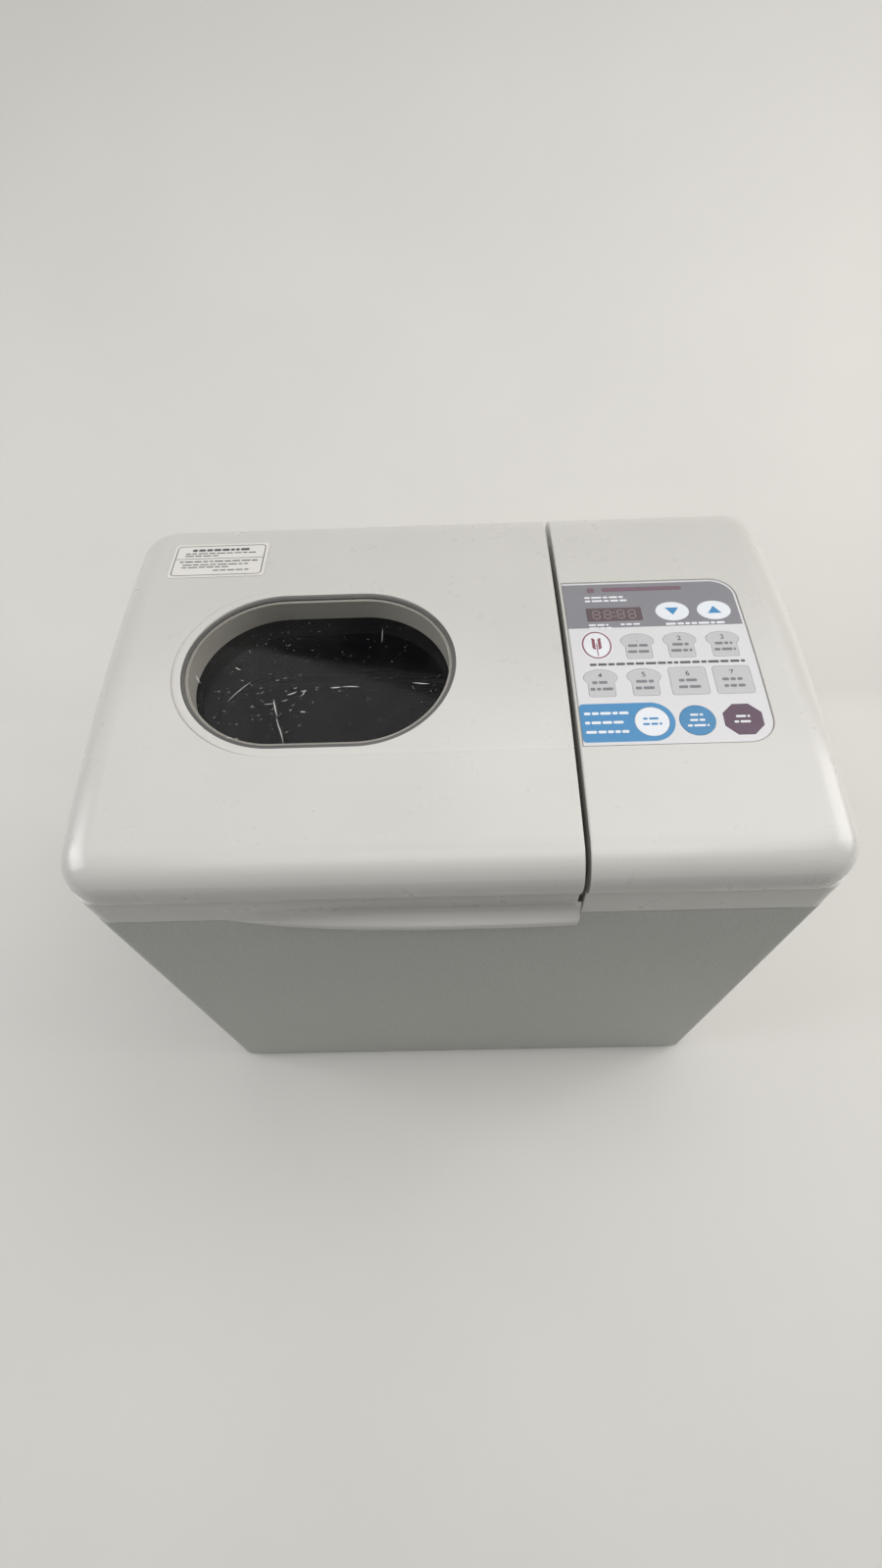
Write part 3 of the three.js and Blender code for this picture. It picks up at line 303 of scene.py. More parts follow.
def bevel(obj, width, segments=2, angle=40):
    modifier = obj.modifiers.new("bevel", "BEVEL")
    modifier.width = width
    modifier.segments = segments
    modifier.limit_method = "ANGLE"
    modifier.angle_limit = math.radians(angle)
    apply_modifiers(obj)
    return obj


def crown(obj, step=4 * MM):
    """Bends a piece that was built under a flat top to the crown. The band below stays level."""
    bm = bmesh.new()
    bm.from_mesh(obj.data)
    low = min(v.co.y for v in bm.verts)
    high = max(v.co.y for v in bm.verts)
    y = math.ceil(low / step) * step
    while y < high:
        everything = bm.verts[:] + bm.edges[:] + bm.faces[:]
        bmesh.ops.bisect_plane(bm, geom=everything, dist=1e-6, plane_co=(0, y, 0), plane_no=(0, 1, 0))
        y += step
    for v in bm.verts:
        share = (v.co.z - BAND_TOP) / (WIDEST - BAND_TOP)
        v.co.z -= CROWN * min(1, max(0, share)) * (v.co.y / HALF_DEPTH) ** 2
    bm.to_mesh(obj.data)
    bm.free()
    return obj


def smooth(obj, angle=32):
    bm = bmesh.new()
    bm.from_mesh(obj.data)
    bmesh.ops.remove_doubles(bm, verts=bm.verts, dist=1e-6)
    limit = math.radians(angle)
    for face in bm.faces:
        face.smooth = True
    for edge in bm.edges:
        edge.smooth = len(edge.link_faces) == 2 and edge.calc_face_angle(0) < limit
    bm.to_mesh(obj.data)
    bm.free()
    modifier = obj.modifiers.new("weighted normals", "WEIGHTED_NORMAL")
    modifier.keep_sharp = True
    return obj


def finish_piece(obj, material, body, slot, *nodes):
    obj.data.materials.clear()
    obj.data.materials.append(material)
    smooth(obj)
    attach(obj, body)
    if nodes:
        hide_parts(*nodes)
    return obj


# ---------- materials ----------

class Shader:
    """A small wrapper that makes nodes and joins them."""

    def __init__(self, name):
        self.material = bpy.data.materials.new(name)
        self.material.use_nodes = True
        self.tree = self.material.node_tree
        self.shader = self.tree.nodes["Principled BSDF"]
        self.where = self.node("ShaderNodeTexCoord").outputs["Object"]

    def node(self, kind, **values):
        made = self.tree.nodes.new(kind)
        for key, value in values.items():
            setattr(made, key, value)
        return made

    def link(self, source, target):
        self.tree.links.new(source, target)

    def set(self, **values):
        for key, value in values.items():
            self.shader.inputs[key.replace("_", " ")].default_value = value

    def stretched(self, scale):
        mapping = self.node("ShaderNodeMapping")
        mapping.inputs["Scale"].default_value = scale
        self.link(self.where, mapping.inputs["Vector"])
        return mapping.outputs["Vector"]

    def noise(self, scale, detail=4.0, rough=0.55, where=None):
        made = self.node("ShaderNodeTexNoise")
        made.inputs["Scale"].default_value = scale
        made.inputs["Detail"].default_value = detail
        made.inputs["Roughness"].default_value = rough
        self.link(where or self.where, made.inputs["Vector"])
        return made.outputs["Fac"]

    def spots(self, scale, size):
        """1 inside small round spots, 0 elsewhere."""
        made = self.node("ShaderNodeTexVoronoi")
        made.inputs["Scale"].default_value = scale
        self.link(self.where, made.inputs["Vector"])
        return self.remap(made.outputs["Distance"], size, size * 0.6, 0, 1)

    def remap(self, source, low, high, to_low, to_high):
        made = self.node("ShaderNodeMapRange")
        for name, value in (("From Min", low), ("From Max", high), ("To Min", to_low), ("To Max", to_high)):
            made.inputs[name].default_value = value
        self.link(source, made.inputs["Value"])
        return made.outputs["Result"]

    def times(self, a, b):
        made = self.node("ShaderNodeMath", operation="MULTIPLY")
        self.link(a, made.inputs[0])
        self.link(b, made.inputs[1])
        return made.outputs[0]

    def blend(self, factor, first, second):
        made = self.node("ShaderNodeMix", data_type="RGBA")
        self.link(factor, made.inputs["Factor"])
        for socket, value in ((made.inputs[6], first), (made.inputs[7], second)):
            if isinstance(value, tuple):
                socket.default_value = (*value, 1)
            else:
                self.link(value, socket)
        return made.outputs[2]

    def set_colour(self, source):
        self.link(source, self.shader.inputs["Base Color"])

    def set_roughness(self, source, low, high, to_low, to_high):
        self.link(self.remap(source, low, high, to_low, to_high), self.shader.inputs["Roughness"])

    def bump(self, height, distance):
        made = self.node("ShaderNodeBump")
        made.inputs["Distance"].default_value = distance
        self.link(height, made.inputs["Height"])
        self.link(made.outputs["Normal"], self.shader.inputs["Normal"])


def linear(hex_colour):
    channels = [int(hex_colour[i:i + 2], 16) / 255 for i in (1, 3, 5)]
    return tuple(c / 12.92 if c <= 0.04045 else ((c + 0.055) / 1.055) ** 2.4 for c in channels)


def shaded(colour, factor):
    return tuple(min(1, c * factor) for c in colour)


def moulded(name, hex_colour, roughness, grain=0.02 * MM, grain_scale=1400, mottle=0.05, coat=0.0, dust=0.0):
    """Moulded plastic or rubber: fine grain, faint colour drift, uneven gloss and, if asked, dust."""
    s = Shader(name)
    colour = linear(hex_colour)
    drift = s.remap(s.noise(14, 5), 0.35, 0.65, 0, 1)
    base = s.blend(drift, shaded(colour, 1 - mottle), shaded(colour, 1 + mottle))
    if dust:
        base = s.blend(s.times(s.spots(95, dust), s.noise(300)), base, shaded(colour, 0.55))
    s.set_colour(base)
    s.set_roughness(s.noise(60, 6), 0.3, 0.7, roughness * 0.86, roughness * 1.16)
    s.bump(s.noise(grain_scale, 3), grain)
    s.set(Coat_Weight=coat, Coat_Roughness=0.18)
    return s.material


def painted_case(name, hex_colour):
    """Powder paint on sheet steel: a sandy relief with painted shade in its hollows, and slight gloss."""
    s = Shader(name)
    colour = linear(hex_colour)
    relief = s.noise(900, 5, 0.6)
    # painted shade: where the relief is low the paint is darker, down to 0.86 of its colour
    pit_shade = s.remap(relief, 0.38, 0.55, 0, 1)
    tone = s.blend(pit_shade, shaded(colour, 0.86), shaded(colour, 1.03))
    drift = s.remap(s.noise(9, 4), 0.35, 0.65, 0, 0.12)
    s.set_colour(s.blend(drift, tone, shaded(colour, 0.8)))
    s.set_roughness(relief, 0.3, 0.7, 0.42, 0.58)
    s.bump(relief, 0.06 * MM)
    return s.material


def metal(name, hex_colour, roughness, stretch=(1, 1, 40), scale=160, scratch=0.012 * MM):
    """Rolled, drawn or cast metal: streaks along one direction in colour, gloss and relief."""
    s = Shader(name)
    colour = linear(hex_colour)
    streaks = s.noise(scale, 6, 0.6, s.stretched(stretch))
    s.set_colour(s.blend(streaks, shaded(colour, 0.78), shaded(colour, 1.12)))
    s.set_roughness(streaks, 0.3, 0.7, roughness * 0.75, roughness * 1.3)
    s.bump(streaks, scratch)
    s.set(Metallic=1.0)
    return s.material


def coated(name, hex_colour):
    """Dark non-stick coating with fine pale flecks."""
    s = Shader(name)
    colour = linear(hex_colour)
    flecks = s.times(s.spots(700, 0.32), s.remap(s.noise(240), 0.45, 0.6, 0, 1))
    s.set_colour(s.blend(flecks, colour, shaded(colour, 4.2)))
    s.set_roughness(s.noise(50, 5), 0.3, 0.7, 0.34, 0.5)
    s.bump(s.noise(1100, 4), 0.02 * MM)
    return s.material


def smoked_glass(name, hex_colour, alpha, dust):
    """Tinted clear plastic: see-through, with a haze of dust that is rougher and more opaque."""
    s = Shader(name)
    colour = linear(hex_colour)
    haze = s.remap(s.noise(26, 8, 0.65), 0.45, 0.8, 0, dust)
    specks = s.times(s.spots(260, 0.12), s.remap(s.noise(70), 0.5, 0.62, 0, 1))
    s.set_colour(s.blend(haze, colour, linear("#b9b7b2")))
    s.set_roughness(haze, 0, 1, 0.05, 0.5)
    cover = s.node("ShaderNodeMath", operation="ADD", use_clamp=True)
    s.link(s.remap(haze, 0, 1, alpha, 1), cover.inputs[0])
    s.link(s.remap(specks, 0, 1, 0, 0.3), cover.inputs[1])
    s.link(cover.outputs[0], s.shader.inputs["Alpha"])
    s.set(IOR=1.49)
    return s.material


def circuit(name):
    """Green solder mask with paler tracks and pads."""
    s = Shader(name)
    tracks = s.node("ShaderNodeTexBrick")
    tracks.inputs["Scale"].default_value = 130
    tracks.inputs["Mortar Size"].default_value = 0.12
    tracks.inputs["Color1"].default_value = (*linear("#17462f"), 1)
    tracks.inputs["Color2"].default_value = (*linear("#1d5339"), 1)
    tracks.inputs["Mortar"].default_value = (*linear("#3d8560"), 1)
    s.link(s.where, tracks.inputs["Vector"])
    base = s.blend(s.spots(330, 0.25), tracks.outputs["Color"], linear("#b7b4a4"))
    s.set_colour(base)
    s.set_roughness(s.noise(90), 0.3, 0.7, 0.35, 0.55)
    s.bump(tracks.outputs["Fac"], 0.03 * MM)
    return s.material


def winding(name):
    """Varnished laminations and copper turns as fine bands."""
    s = Shader(name)
    bands = s.node("ShaderNodeTexWave", bands_direction="Z")
    bands.inputs["Scale"].default_value = 420
    bands.inputs["Distortion"].default_value = 1.2
    s.link(s.where, bands.inputs["Vector"])
    s.set_colour(s.blend(bands.outputs["Fac"], linear("#4a2c1c"), linear("#a3663c")))
    s.set_roughness(s.noise(120), 0.3, 0.7, 0.3, 0.5)
    s.bump(bands.outputs["Fac"], 0.1 * MM)
    s.set(Metallic=0.7)
    return s.material


def filmed(name, hex_colour, roughness, mottle=0.02, grain=0.01 * MM):
    """The film, its large printed fields and the key pads: satin, with a very fine grain."""
    return moulded(name, hex_colour, roughness, grain=grain, grain_scale=2600, mottle=mottle)


def ink(name, hex_colour, roughness=0.45):
    """Small print: nearly smooth."""
    return moulded(name, hex_colour, roughness, grain=0.004 * MM)


HOUSING = moulded("housing_plastic", "#cdcbc6", 0.3, grain=0.012 * MM, mottle=0.018, coat=0.25, dust=0.045)
PAINT = painted_case("case_paint", "#c2c4bf")
DARK = moulded("dark_plastic", "#2b2b2d", 0.55, mottle=0.12)
WELL = moulded("well_plastic", "#c6c2b8", 0.5, mottle=0.05)
RUBBER = moulded("rubber", "#1e1e20", 0.75, grain=0.03 * MM, mottle=0.2)
GASKET = moulded("gasket_rubber", "#5c5b59", 0.45, grain=0.02 * MM, mottle=0.12)
BRIGHT_STEEL = metal("bright_steel", "#c6c8ca", 0.24)
SHEET_STEEL = metal("sheet_steel", "#b4b6b6", 0.34, stretch=(1, 26, 26), scale=40)
ELEMENT_STEEL = metal("element_steel", "#6c6864", 0.45, stretch=(1, 1, 1), scale=300)
CAST = metal("cast_aluminium", "#c2c4c4", 0.42, stretch=(1, 1, 1), scale=420, scratch=0.03 * MM)
NON_STICK = coated("non_stick", "#29292b")
PANE = smoked_glass("smoked_pane", "#101013", 0.13, 0.07)
INNER_PANE = smoked_glass("inner_pane", "#0d0d0f", 0.62, 0.03)
LENS = moulded("display_lens", "#6b5f63", 0.22, grain=0.004 * MM, mottle=0.05, coat=0.6)
SEGMENT = moulded("display_segment", "#8d7f80", 0.4, mottle=0.04)
FILM = filmed("film", "#d6d5d7", 0.4, 0.012, 0.012 * MM)
HEADER = filmed("print_grey", "#87868b", 0.42)
PRINT_DARK = ink("print_dark", "#57565c")
PRINT_GREY = ink("print_mid_grey", "#7d7c82")
PRINT_RED = ink("print_red", "#8a5560")
PRINT_MAUVE = ink("print_mauve", "#7b6470")
PRINT_WHITE = ink("print_white", "#e2e4e8", 0.42)
PRINT_BLUE = filmed("print_blue", "#4889ba", 0.42)
KEY_GREY = filmed("key_grey", "#bebfc0", 0.42, 0.015, 0.012 * MM)
KEY_WHITE = filmed("key_white", "#e2e5ea", 0.38, 0.012)
KEY_BLUE = filmed("key_blue", "#4785b2", 0.4)
KEY_PURPLE = filmed("key_purple", "#5f4a5b", 0.4)
STICKER = moulded("sticker", "#dddbd5", 0.42, grain=0.006 * MM, mottle=0.02)
SCRATCH = moulded("scratch", "#dddcd8", 0.6, mottle=0.25)
CIRCUIT = circuit("circuit_board")
WINDING = winding("winding")


# ---------- housing: lid and control cover ----------

CORNER_STEPS = 14
SIDE_STEPS = 26
EDGE_ROUND = 0.9 * MM


def stations(half_depth, corner):
    """Y places from front to rear, close together round the corners."""
    straight = half_depth - corner
    front = [-straight - corner]
    front += [-straight - corner * math.cos(angle) for angle in quarter(CORNER_STEPS)]
    side = [-straight + 2 * straight * i / SIDE_STEPS for i in range(1, SIDE_STEPS)]
    return front + side + [-y for y in reversed(front)]


def back_off(y, half_depth, radius):
    """How far a rounded corner of that radius draws the edge in at y."""
    over = abs(y) - (half_depth - radius)
    return radius - math.sqrt(max(0, radius ** 2 - over ** 2)) if over > 0 else 0


def half_ring(inset, z, gap_inset, gap_x, outer_sign):
    """A level of the lid (outer side left, sign -1) or of the control cover (sign +1)."""
    half_width = HALF_WIDTH - inset
    half_depth = HALF_DEPTH - inset
    corner = BAND_CORNER if z <= BAND_TOP else CORNER - inset
    ys = stations(half_depth, corner)
    outer = [(outer_sign * (half_width - back_off(y, half_depth, corner)), y, z) for y in ys]
    gap = [(gap_x + outer_sign * (gap_inset + back_off(y, half_depth, EDGE_ROUND)), y, z) for y in ys]
    right, left = (gap, outer) if outer_sign < 0 else (outer, gap)
    return right + list(reversed(left))


def edge_back(z):
    """The rounding of the edge along the gap, near the top."""
    over = z - (HEIGHT - EDGE_ROUND)
    return EDGE_ROUND - math.sqrt(max(0, EDGE_ROUND ** 2 - over ** 2)) if over > 0 else 0


def housing_half(name, gap_x, outer_sign):
    """A closed shell: up the outside, down the inside, built under a flat top."""
    groove = BAND_INSET + 0.9 * MM
    outside = [(BAND_INSET + 0.5 * MM, LID_BOTTOM), (BAND_INSET + 0.15 * MM, LID_BOTTOM + 0.15 * MM)]
    outside += [(BAND_INSET, LID_BOTTOM + 0.5 * MM), (BAND_INSET, BAND_TOP - 1.1 * MM)]
    outside += [(groove, BAND_TOP - 0.7 * MM), (groove, BAND_TOP)]
    for angle in quarter(10):
        z = WIDEST - (WIDEST - BAND_TOP) * math.cos(angle)
        outside.append((BAND_INSET * (1 - math.sin(angle)), z))
    for angle in quarter(18):
        outside.append((EDGE_IN * (1 - math.cos(angle)), WIDEST + EDGE_DOWN * math.sin(angle)))
    inner_side = BAND_INSET + WALL
    inner_top = EDGE_IN + 1 * MM
    inside = [(inner_side, LID_BOTTOM), (inner_side, WIDEST - WALL)]
    for angle in quarter(6):
        inset = inner_side + (inner_top - inner_side) * (1 - math.cos(angle))
        inside.append((inset, WIDEST - WALL + EDGE_DOWN * math.sin(angle)))
    rings = [half_ring(inset, z, WALL, gap_x, outer_sign) for inset, z in reversed(inside)]
    rings += [half_ring(inset, z, edge_back(z), gap_x, outer_sign) for inset, z in outside]
    return skin(name, rings)


def recess_outline(grow):
    """The window's recess: round to the left, open to the gap at the right."""
    radius = WINDOW_R + RECESS_RIM + grow
    beyond = LID_EDGE + 3 * MM
    points = [(beyond, WINDOW_Y - radius), (beyond, WINDOW_Y + radius)]
    return points + arc(WINDOW_X - WINDOW_LENGTH / 2 + WINDOW_R, WINDOW_Y, radius, 90, 270, 56)


def recess_share(y):
    """1 at the front of the recess, where it is deepest, and 0 at its rear edge."""
    radius = WINDOW_R + RECESS_RIM
    return min(1, max(0, (WINDOW_Y + radius - y) / (2 * radius)))


def cut_recess(lid):
    """The sloping recess with its drafted edge, and a shallow groove just inside that edge."""
    draft = 0.9 * MM
    groove_depth = 0.55 * MM
    low = [(x, y, HEIGHT - RECESS_DEPTH * recess_share(y) - 0.02 * MM) for x, y in recess_outline(0)]
    high = [(x, y, HEIGHT + 2 * MM) for x, y in recess_outline(draft)]
    boolean(lid, skin("recess_cutter", [low, high]))
    edge = recess_outline(0.05 * MM)
    low = [(x, y, HEIGHT - (RECESS_DEPTH + groove_depth) * recess_share(y)) for x, y in edge]
    high = [(x, y, HEIGHT - RECESS_DEPTH * recess_share(y) + 0.2 * MM) for x, y in edge]
    groove = skin("groove", [low, high])
    boolean(groove, through_top("inside", [recess_outline(-0.5 * MM)]))
    boolean(lid, groove)


def lip_section(x):
    """The finger lip's outline in Y and Z at one place along the front edge."""
    middle = 5 * MM
    half = 115 * MM
    end_radius = 3 * MM
    bulge = REACH - BAND_FACE
    right = LIP_EDGE - end_radius

    def reach_at(place):
        return bulge * (1 - abs((place - middle) / half) ** 2.65)

    reach = reach_at(min(x, right))
    if x > right:
        reach -= end_radius - math.sqrt(max(0, end_radius ** 2 - (x - right) ** 2))
    reach = max(reach, 0.5 * MM)
    root = -BAND_FACE + 1.2 * MM
    top = LID_BOTTOM + 11 * MM
    nose = min(1.2 * MM, reach / 2)
    drop = 1.6 * MM * min(1, reach / (3 * MM))
    bottom = LID_BOTTOM - drop
    tip = -BAND_FACE - reach
    nose_z = bottom + nose + 2.2 * MM * min(1, reach / (3 * MM))
    points = [(root, top)]
    for i in range(10):
        t = i / 9
        y = -BAND_FACE + (tip + nose * 0.6 + BAND_FACE) * t
        points.append((y, top - (top - nose_z - nose) * t ** 0.42))
    for i in range(1, 6):
        angle = math.radians(100 + 16 * i)
        points.append((tip + nose + nose * math.cos(angle), nose_z + nose * math.sin(angle)))
    points.append((tip + nose * 0.15, bottom + nose * 0.4))
    points.append((tip + nose * 0.7, bottom))
    back = -BAND_FACE - min(0.6 * MM, reach / 3)
    points += [(back, bottom), (back, LID_BOTTOM + 0.2 * MM), (root, LID_BOTTOM + 0.2 * MM)]
    return points


def finger_lip():
    left = -110 * MM
    steps = 70
    xs = [left + (LIP_EDGE - left) * (1 - (1 - i / steps) ** 1.6) for i in range(steps + 1)]
    return skin("finger_lip", [[(x, y, z) for y, z in lip_section(x)] for x in xs])


def finger_hollow():
    inner = -CASE_FACE - 2.2 * MM
    outer = -REACH + 1.6 * MM
    outline = [
        (outer, LID_BOTTOM - 3 * MM),
        (inner, LID_BOTTOM - 3 * MM),
        (inner, LID_BOTTOM + 4.5 * MM),
        (outer, LID_BOTTOM + 0.5 * MM),
    ]
    return bars("finger_hollow", [outline], -40 * MM, LIP_EDGE - 6 * MM, "X")


def knuckle_outline():
    root = HINGE_Z + 12 * MM
    points = arc(HINGE_Y, HINGE_Z, KNUCKLE_R, 180, 360, 20)
    return points + [(HINGE_Y + KNUCKLE_R, root), (HINGE_Y - KNUCKLE_R, root)]


def pin_hole(start, end):
    outline = circle(HINGE_Y, HINGE_Z, PIN_R + GAP, 24)
    return bars("pin_hole", [outline], start - MM, end + MM, "X")


def box_bar(name, low, high):
    outline = [(low[0], low[1]), (high[0], low[1]), (high[0], high[1]), (low[0], high[1])]
    return bars(name, [outline], low[2], high[2])


def add_lugs(lid):
    for x in HINGE_XS:
        start = x - POST_HALF - GAP - LUG_WIDTH
        end = x + POST_HALF + GAP + LUG_WIDTH
        boolean(lid, bars("lugs", [knuckle_outline()], start, end, "X"), "UNION")
        low = (x - POST_HALF - GAP, HINGE_Y - KNUCKLE_R - 3 * MM, 0)
        high = (x + POST_HALF + GAP, FAR, HINGE_Z + KNUCKLE_R + 2 * GAP)
        boolean(lid, box_bar("notch", low, high))
        boolean(lid, pin_hole(start, end))


def build_lid_shell():
    lid = housing_half("lid_shell_fine", LID_EDGE, -1)
    cut_recess(lid)
    boolean(lid, bars("opening", [stadium(0)], HEIGHT - 12 * MM, HEIGHT + 5 * MM))
    crown(lid)
    boolean(lid, finger_lip(), "UNION")
    boolean(lid, finger_hollow())
    boolean(lid, box_bar("relief", (-FAR, HINGE_Y - MM, 0), (FAR, FAR, HINGE_Z - MM)))
    add_lugs(lid)
    finish_piece(lid, HOUSING, "lid", "housing_plastic", "lid_shell")


def top_sheet(name, outlines, top_depth, bottom_depth, holes=None):
    """A thin piece under the crowned top, given by its depths below it."""
    obj = bars(name, outlines, HEIGHT - bottom_depth, HEIGHT - top_depth)
    if holes is not None:
        boolean(obj, holes)
    return obj


def build_window():
    hole = through_top("hole", [stadium(-GAP - GASKET_WIDTH)])
    gasket = top_sheet("window_gasket_fine", [stadium(-0.1 * MM)], 1.25 * MM, 2.4 * MM, hole)
    bevel(gasket, 0.35 * MM, 3)
    finish_piece(crown(gasket), GASKET, "lid", "rubber", "window_gasket")
    pane = top_sheet("window_pane_fine", [stadium(-GAP - GASKET_WIDTH - 0.1 * MM)], 1.5 * MM, 2.3 * MM)
    bevel(pane, 0.2 * MM, 2)
    finish_piece(crown(pane), PANE, "lid", "window_glass", "window_pane")
    outside = stadium(-WELL_IN / 2)
    inside = stadium(-3.4 * MM)
    under_gasket = HEIGHT - 2.5 * MM
    rings = [[(x, y, well_low.z) for x, y in outline] for outline in (inside, outside)]
    for outline in (outside, inside):
        rings.append([(x, y, under_gasket - CROWN * (y / HALF_DEPTH) ** 2) for x, y in outline])
    well = skin("window_well_fine", rings, closed=True)
    finish_piece(well, WELL, "lid", "grey_plastic", "window_well")
    glass_low, glass_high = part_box("inner_glass")
    glass = bars("inner_glass_fine", [stadium(-1.5 * MM)], glass_low.z, glass_high.z)
    bevel(glass, 0.4 * MM, 2)
    finish_piece(glass, INNER_PANE, "lid", "window_glass", "inner_glass")


def scratch_outline(rng, x, y, length, heading, curl, width):
    """A hairline that tapers at both ends and curls a little."""
    steps = 14
    left, right = [], []
    for i in range(steps + 1):
        half = width / 2 * math.sin(math.pi * (i + 0.4) / (steps + 0.8)) + 0.01 * MM
        side = (-math.sin(heading), math.cos(heading))
        left.append((x + side[0] * half, y + side[1] * half))
        right.append((x - side[0] * half, y - side[1] * half))
        x += math.cos(heading) * length / steps
        y += math.sin(heading) * length / steps
        heading += curl / steps + rng.uniform(-0.05, 0.05)
    return right + list(reversed(left))


def inside_window(x, y, margin):
    offset = WINDOW_LENGTH / 2 - WINDOW_R
    dx = max(0, abs(x - WINDOW_X) - offset)
    return math.hypot(dx, y - WINDOW_Y) < WINDOW_R - margin


def build_scratches():
    """Scuffs on the pane, in millimetres from the window's middle: start, end, bow and width of each."""
    rng = random.Random(11)
    strokes = [
        ((-20.4, -20.7), (-18.0, -31.0), 0.15, 0.55),
        ((-18.2, -31.5), (-13.1, -46.3), 0.1, 0.4),
        ((-42.9, -21.2), (-32.4, -10.7), -0.5, 0.18),
        ((-14.2, -18.2), (-9.5, -16.6), 0.3, 0.4),
        ((-7.6, -16.2), (-4.7, -15.8), 0.2, 0.35),
        ((-5.2, -15.2), (-6.4, -19.0), 0.2, 0.3),
        ((-16.0, -22.0), (-13.5, -20.8), 0.2, 0.2),
        ((-25.0, -23.5), (-19.5, -23.0), 0.3, 0.18),
        ((7.1, -14.6), (12.0, -14.2), 0.1, 0.5),
        ((12.9, -14.1), (21.0, -13.6), 0.1, 0.35),
        ((47.5, -12.9), (55.5, -13.6), 0.1, 0.3),
        ((-42.0, 0.3), (-39.5, -1.9), 0.1, 0.3),
        ((-61.3, -4.0), (-58.2, -9.7), 0.2, 0.22),
        ((-6.9, -28.5), (-4.2, -28.7), 0.1, 0.4),
        ((-41.1, -42.2), (-38.2, -42.6), 0.2, 0.4),
        ((-37.0, -43.0), (-35.2, -43.2), 0.2, 0.3),
        ((31.5, 24.0), (31.8, 14.0), 0.1, 0.12),
    ]
    outlines = []
    for (x0, y0), (x1, y1), bow, width in strokes:
        heading = math.atan2(y1 - y0, x1 - x0) - bow / 2
        length = math.hypot(x1 - x0, y1 - y0) * MM
        start = (WINDOW_X + x0 * MM, WINDOW_Y + y0 * MM)
        outlines.append(scratch_outline(rng, *start, length, heading, bow, width * MM))
    fine_scuffs = 46
    dust_specks = 240
    for _ in range(fine_scuffs):
        x = WINDOW_X + rng.gauss(-22, 16) * MM
        y = WINDOW_Y - rng.gauss(24, 9) * MM
        if inside_window(x, y, 6 * MM):
            heading = rng.uniform(-0.6, 0.6)
            length = rng.uniform(0.5, 1.8) * MM
            outlines.append(scratch_outline(rng, x, y, length, heading, 0.2, 0.09 * MM))
    for _ in range(dust_specks):
        x = WINDOW_X + rng.uniform(-62, 62) * MM
        y = WINDOW_Y + rng.uniform(-44, 44) * MM
        if inside_window(x, y, 4 * MM):
            outlines.append(circle(x, y, rng.uniform(0.04, 0.15) * MM, 7))
    marks = top_sheet("window_scratches", outlines, 1.47 * MM, 1.52 * MM)
    finish_piece(crown(marks, 2 * MM), SCRATCH, "lid", "label")


def text_lines(x, y, widths, height, pitch, rng, from_left=False):
    """Rows of short bars that stand for lines of small print, centred on x or starting there."""
    outlines = []
    for row, width in enumerate(widths):
        at = x if from_left else x - width / 2
        end = at + width
        v = y - row * pitch
        while at < end - 0.8 * MM:
            word = min(rng.uniform(2.0, 5.5) * MM, end - at)
            outlines.append(rounded_box(at + word / 2, v, word, height, height * 0.3, 2))
            at += word + 0.7 * MM
    return outlines


def rounded_line(x, y, width, depth, radius, line):
    """A thin line round a rounded box."""
    outer = rounded_box(x, y, width, depth, radius, 6)
    return between(outer, rounded_box(x, y, width - 2 * line, depth - 2 * line, radius - line, 6))


def build_label():
    x, y = middle(label_low, label_high)[:2]
    width, depth = spans(label_low, label_high)[:2]
    top = -0.5 * MM
    label = top_sheet("lid_label_fine", [rounded_box(x, y, width, depth, 2.2 * MM)], top, -0.02 * MM)
    bevel(label, 0.12 * MM, 2)
    finish_piece(crown(label, 3 * MM), STICKER, "lid", "label", "lid_label")
    rng = random.Random(3)
    outlines = rounded_line(x, y, width - 3 * MM, depth - 3 * MM, 2.6 * MM, 0.5 * MM)
    outlines += text_lines(x, y + 9.2 * MM, [33 * MM], 2.1 * MM, 3 * MM, rng)
    outlines += text_lines(x - 20 * MM, y + 6.2 * MM, [40 * MM, 19 * MM], 0.85 * MM, 2.2 * MM, rng, True)
    outlines.append(rounded_box(x, y + 1.4 * MM, width - 4 * MM, 0.4 * MM, 0.1 * MM, 1))
    outlines += text_lines(x, y - 1.2 * MM, [44 * MM], 1.0 * MM, 3 * MM, rng)
    outlines += text_lines(x - 20 * MM, y - 4.0 * MM, [38 * MM, 27 * MM], 0.85 * MM, 2.2 * MM, rng, True)
    outlines += text_lines(x + 8 * MM, y - 9.2 * MM, [20 * MM], 0.85 * MM, 2.2 * MM, rng)
    print_top = top - PRINT_PROUD
    prints = top_sheet("lid_label_print", outlines, print_top, print_top + PRINT_T)
    finish_piece(crown(prints, 3 * MM), PRINT_DARK, "lid", "label")


# ---------- keys and panel ----------

def oval_key(x, y, width, depth, grow):
    return ellipse(x, y, width / 2 + grow, depth / 2 + grow)


def square_key(x, y, width, depth, grow):
    return rounded_box(x, y, width + 2 * grow, depth + 2 * grow, 1.5 * MM + grow, 8)


def octagon_key(x, y, width, depth, grow):
    half_x = width / 2 + grow
    half_y = depth / 2 + grow
    flat = math.tan(math.pi / 8)
    corners = [(1, -flat), (1, flat), (flat, 1), (-flat, 1)]
    corners += [(-1, flat), (-1, -flat), (-flat, -1), (flat, -1)]
    return [(x + half_x * u, y + half_y * v) for u, v in corners]


def loaf_key(x, y, width, depth, grow):
    """A mushroom-topped loaf: a straight body under a wide flat dome."""
    half_u = width / 2 + grow
    half_v = 0.3 * depth + grow
    centre = 0.2 * depth
    body = 0.39 * width + grow
    foot = 1.2 * MM + grow
    start = -math.degrees(math.acos(body / half_u))
    right = arc(body - foot, -depth / 2 - grow + foot, foot, -90, 0, 5)
    right += [(half_u * u, centre + half_v * v) for u, v in arc(0, 0, 1, start, 90, 18)]
    left = [(-u, v) for u, v in reversed(right[:-1])]
    return [(x + u, y + v) for u, v in right + left]


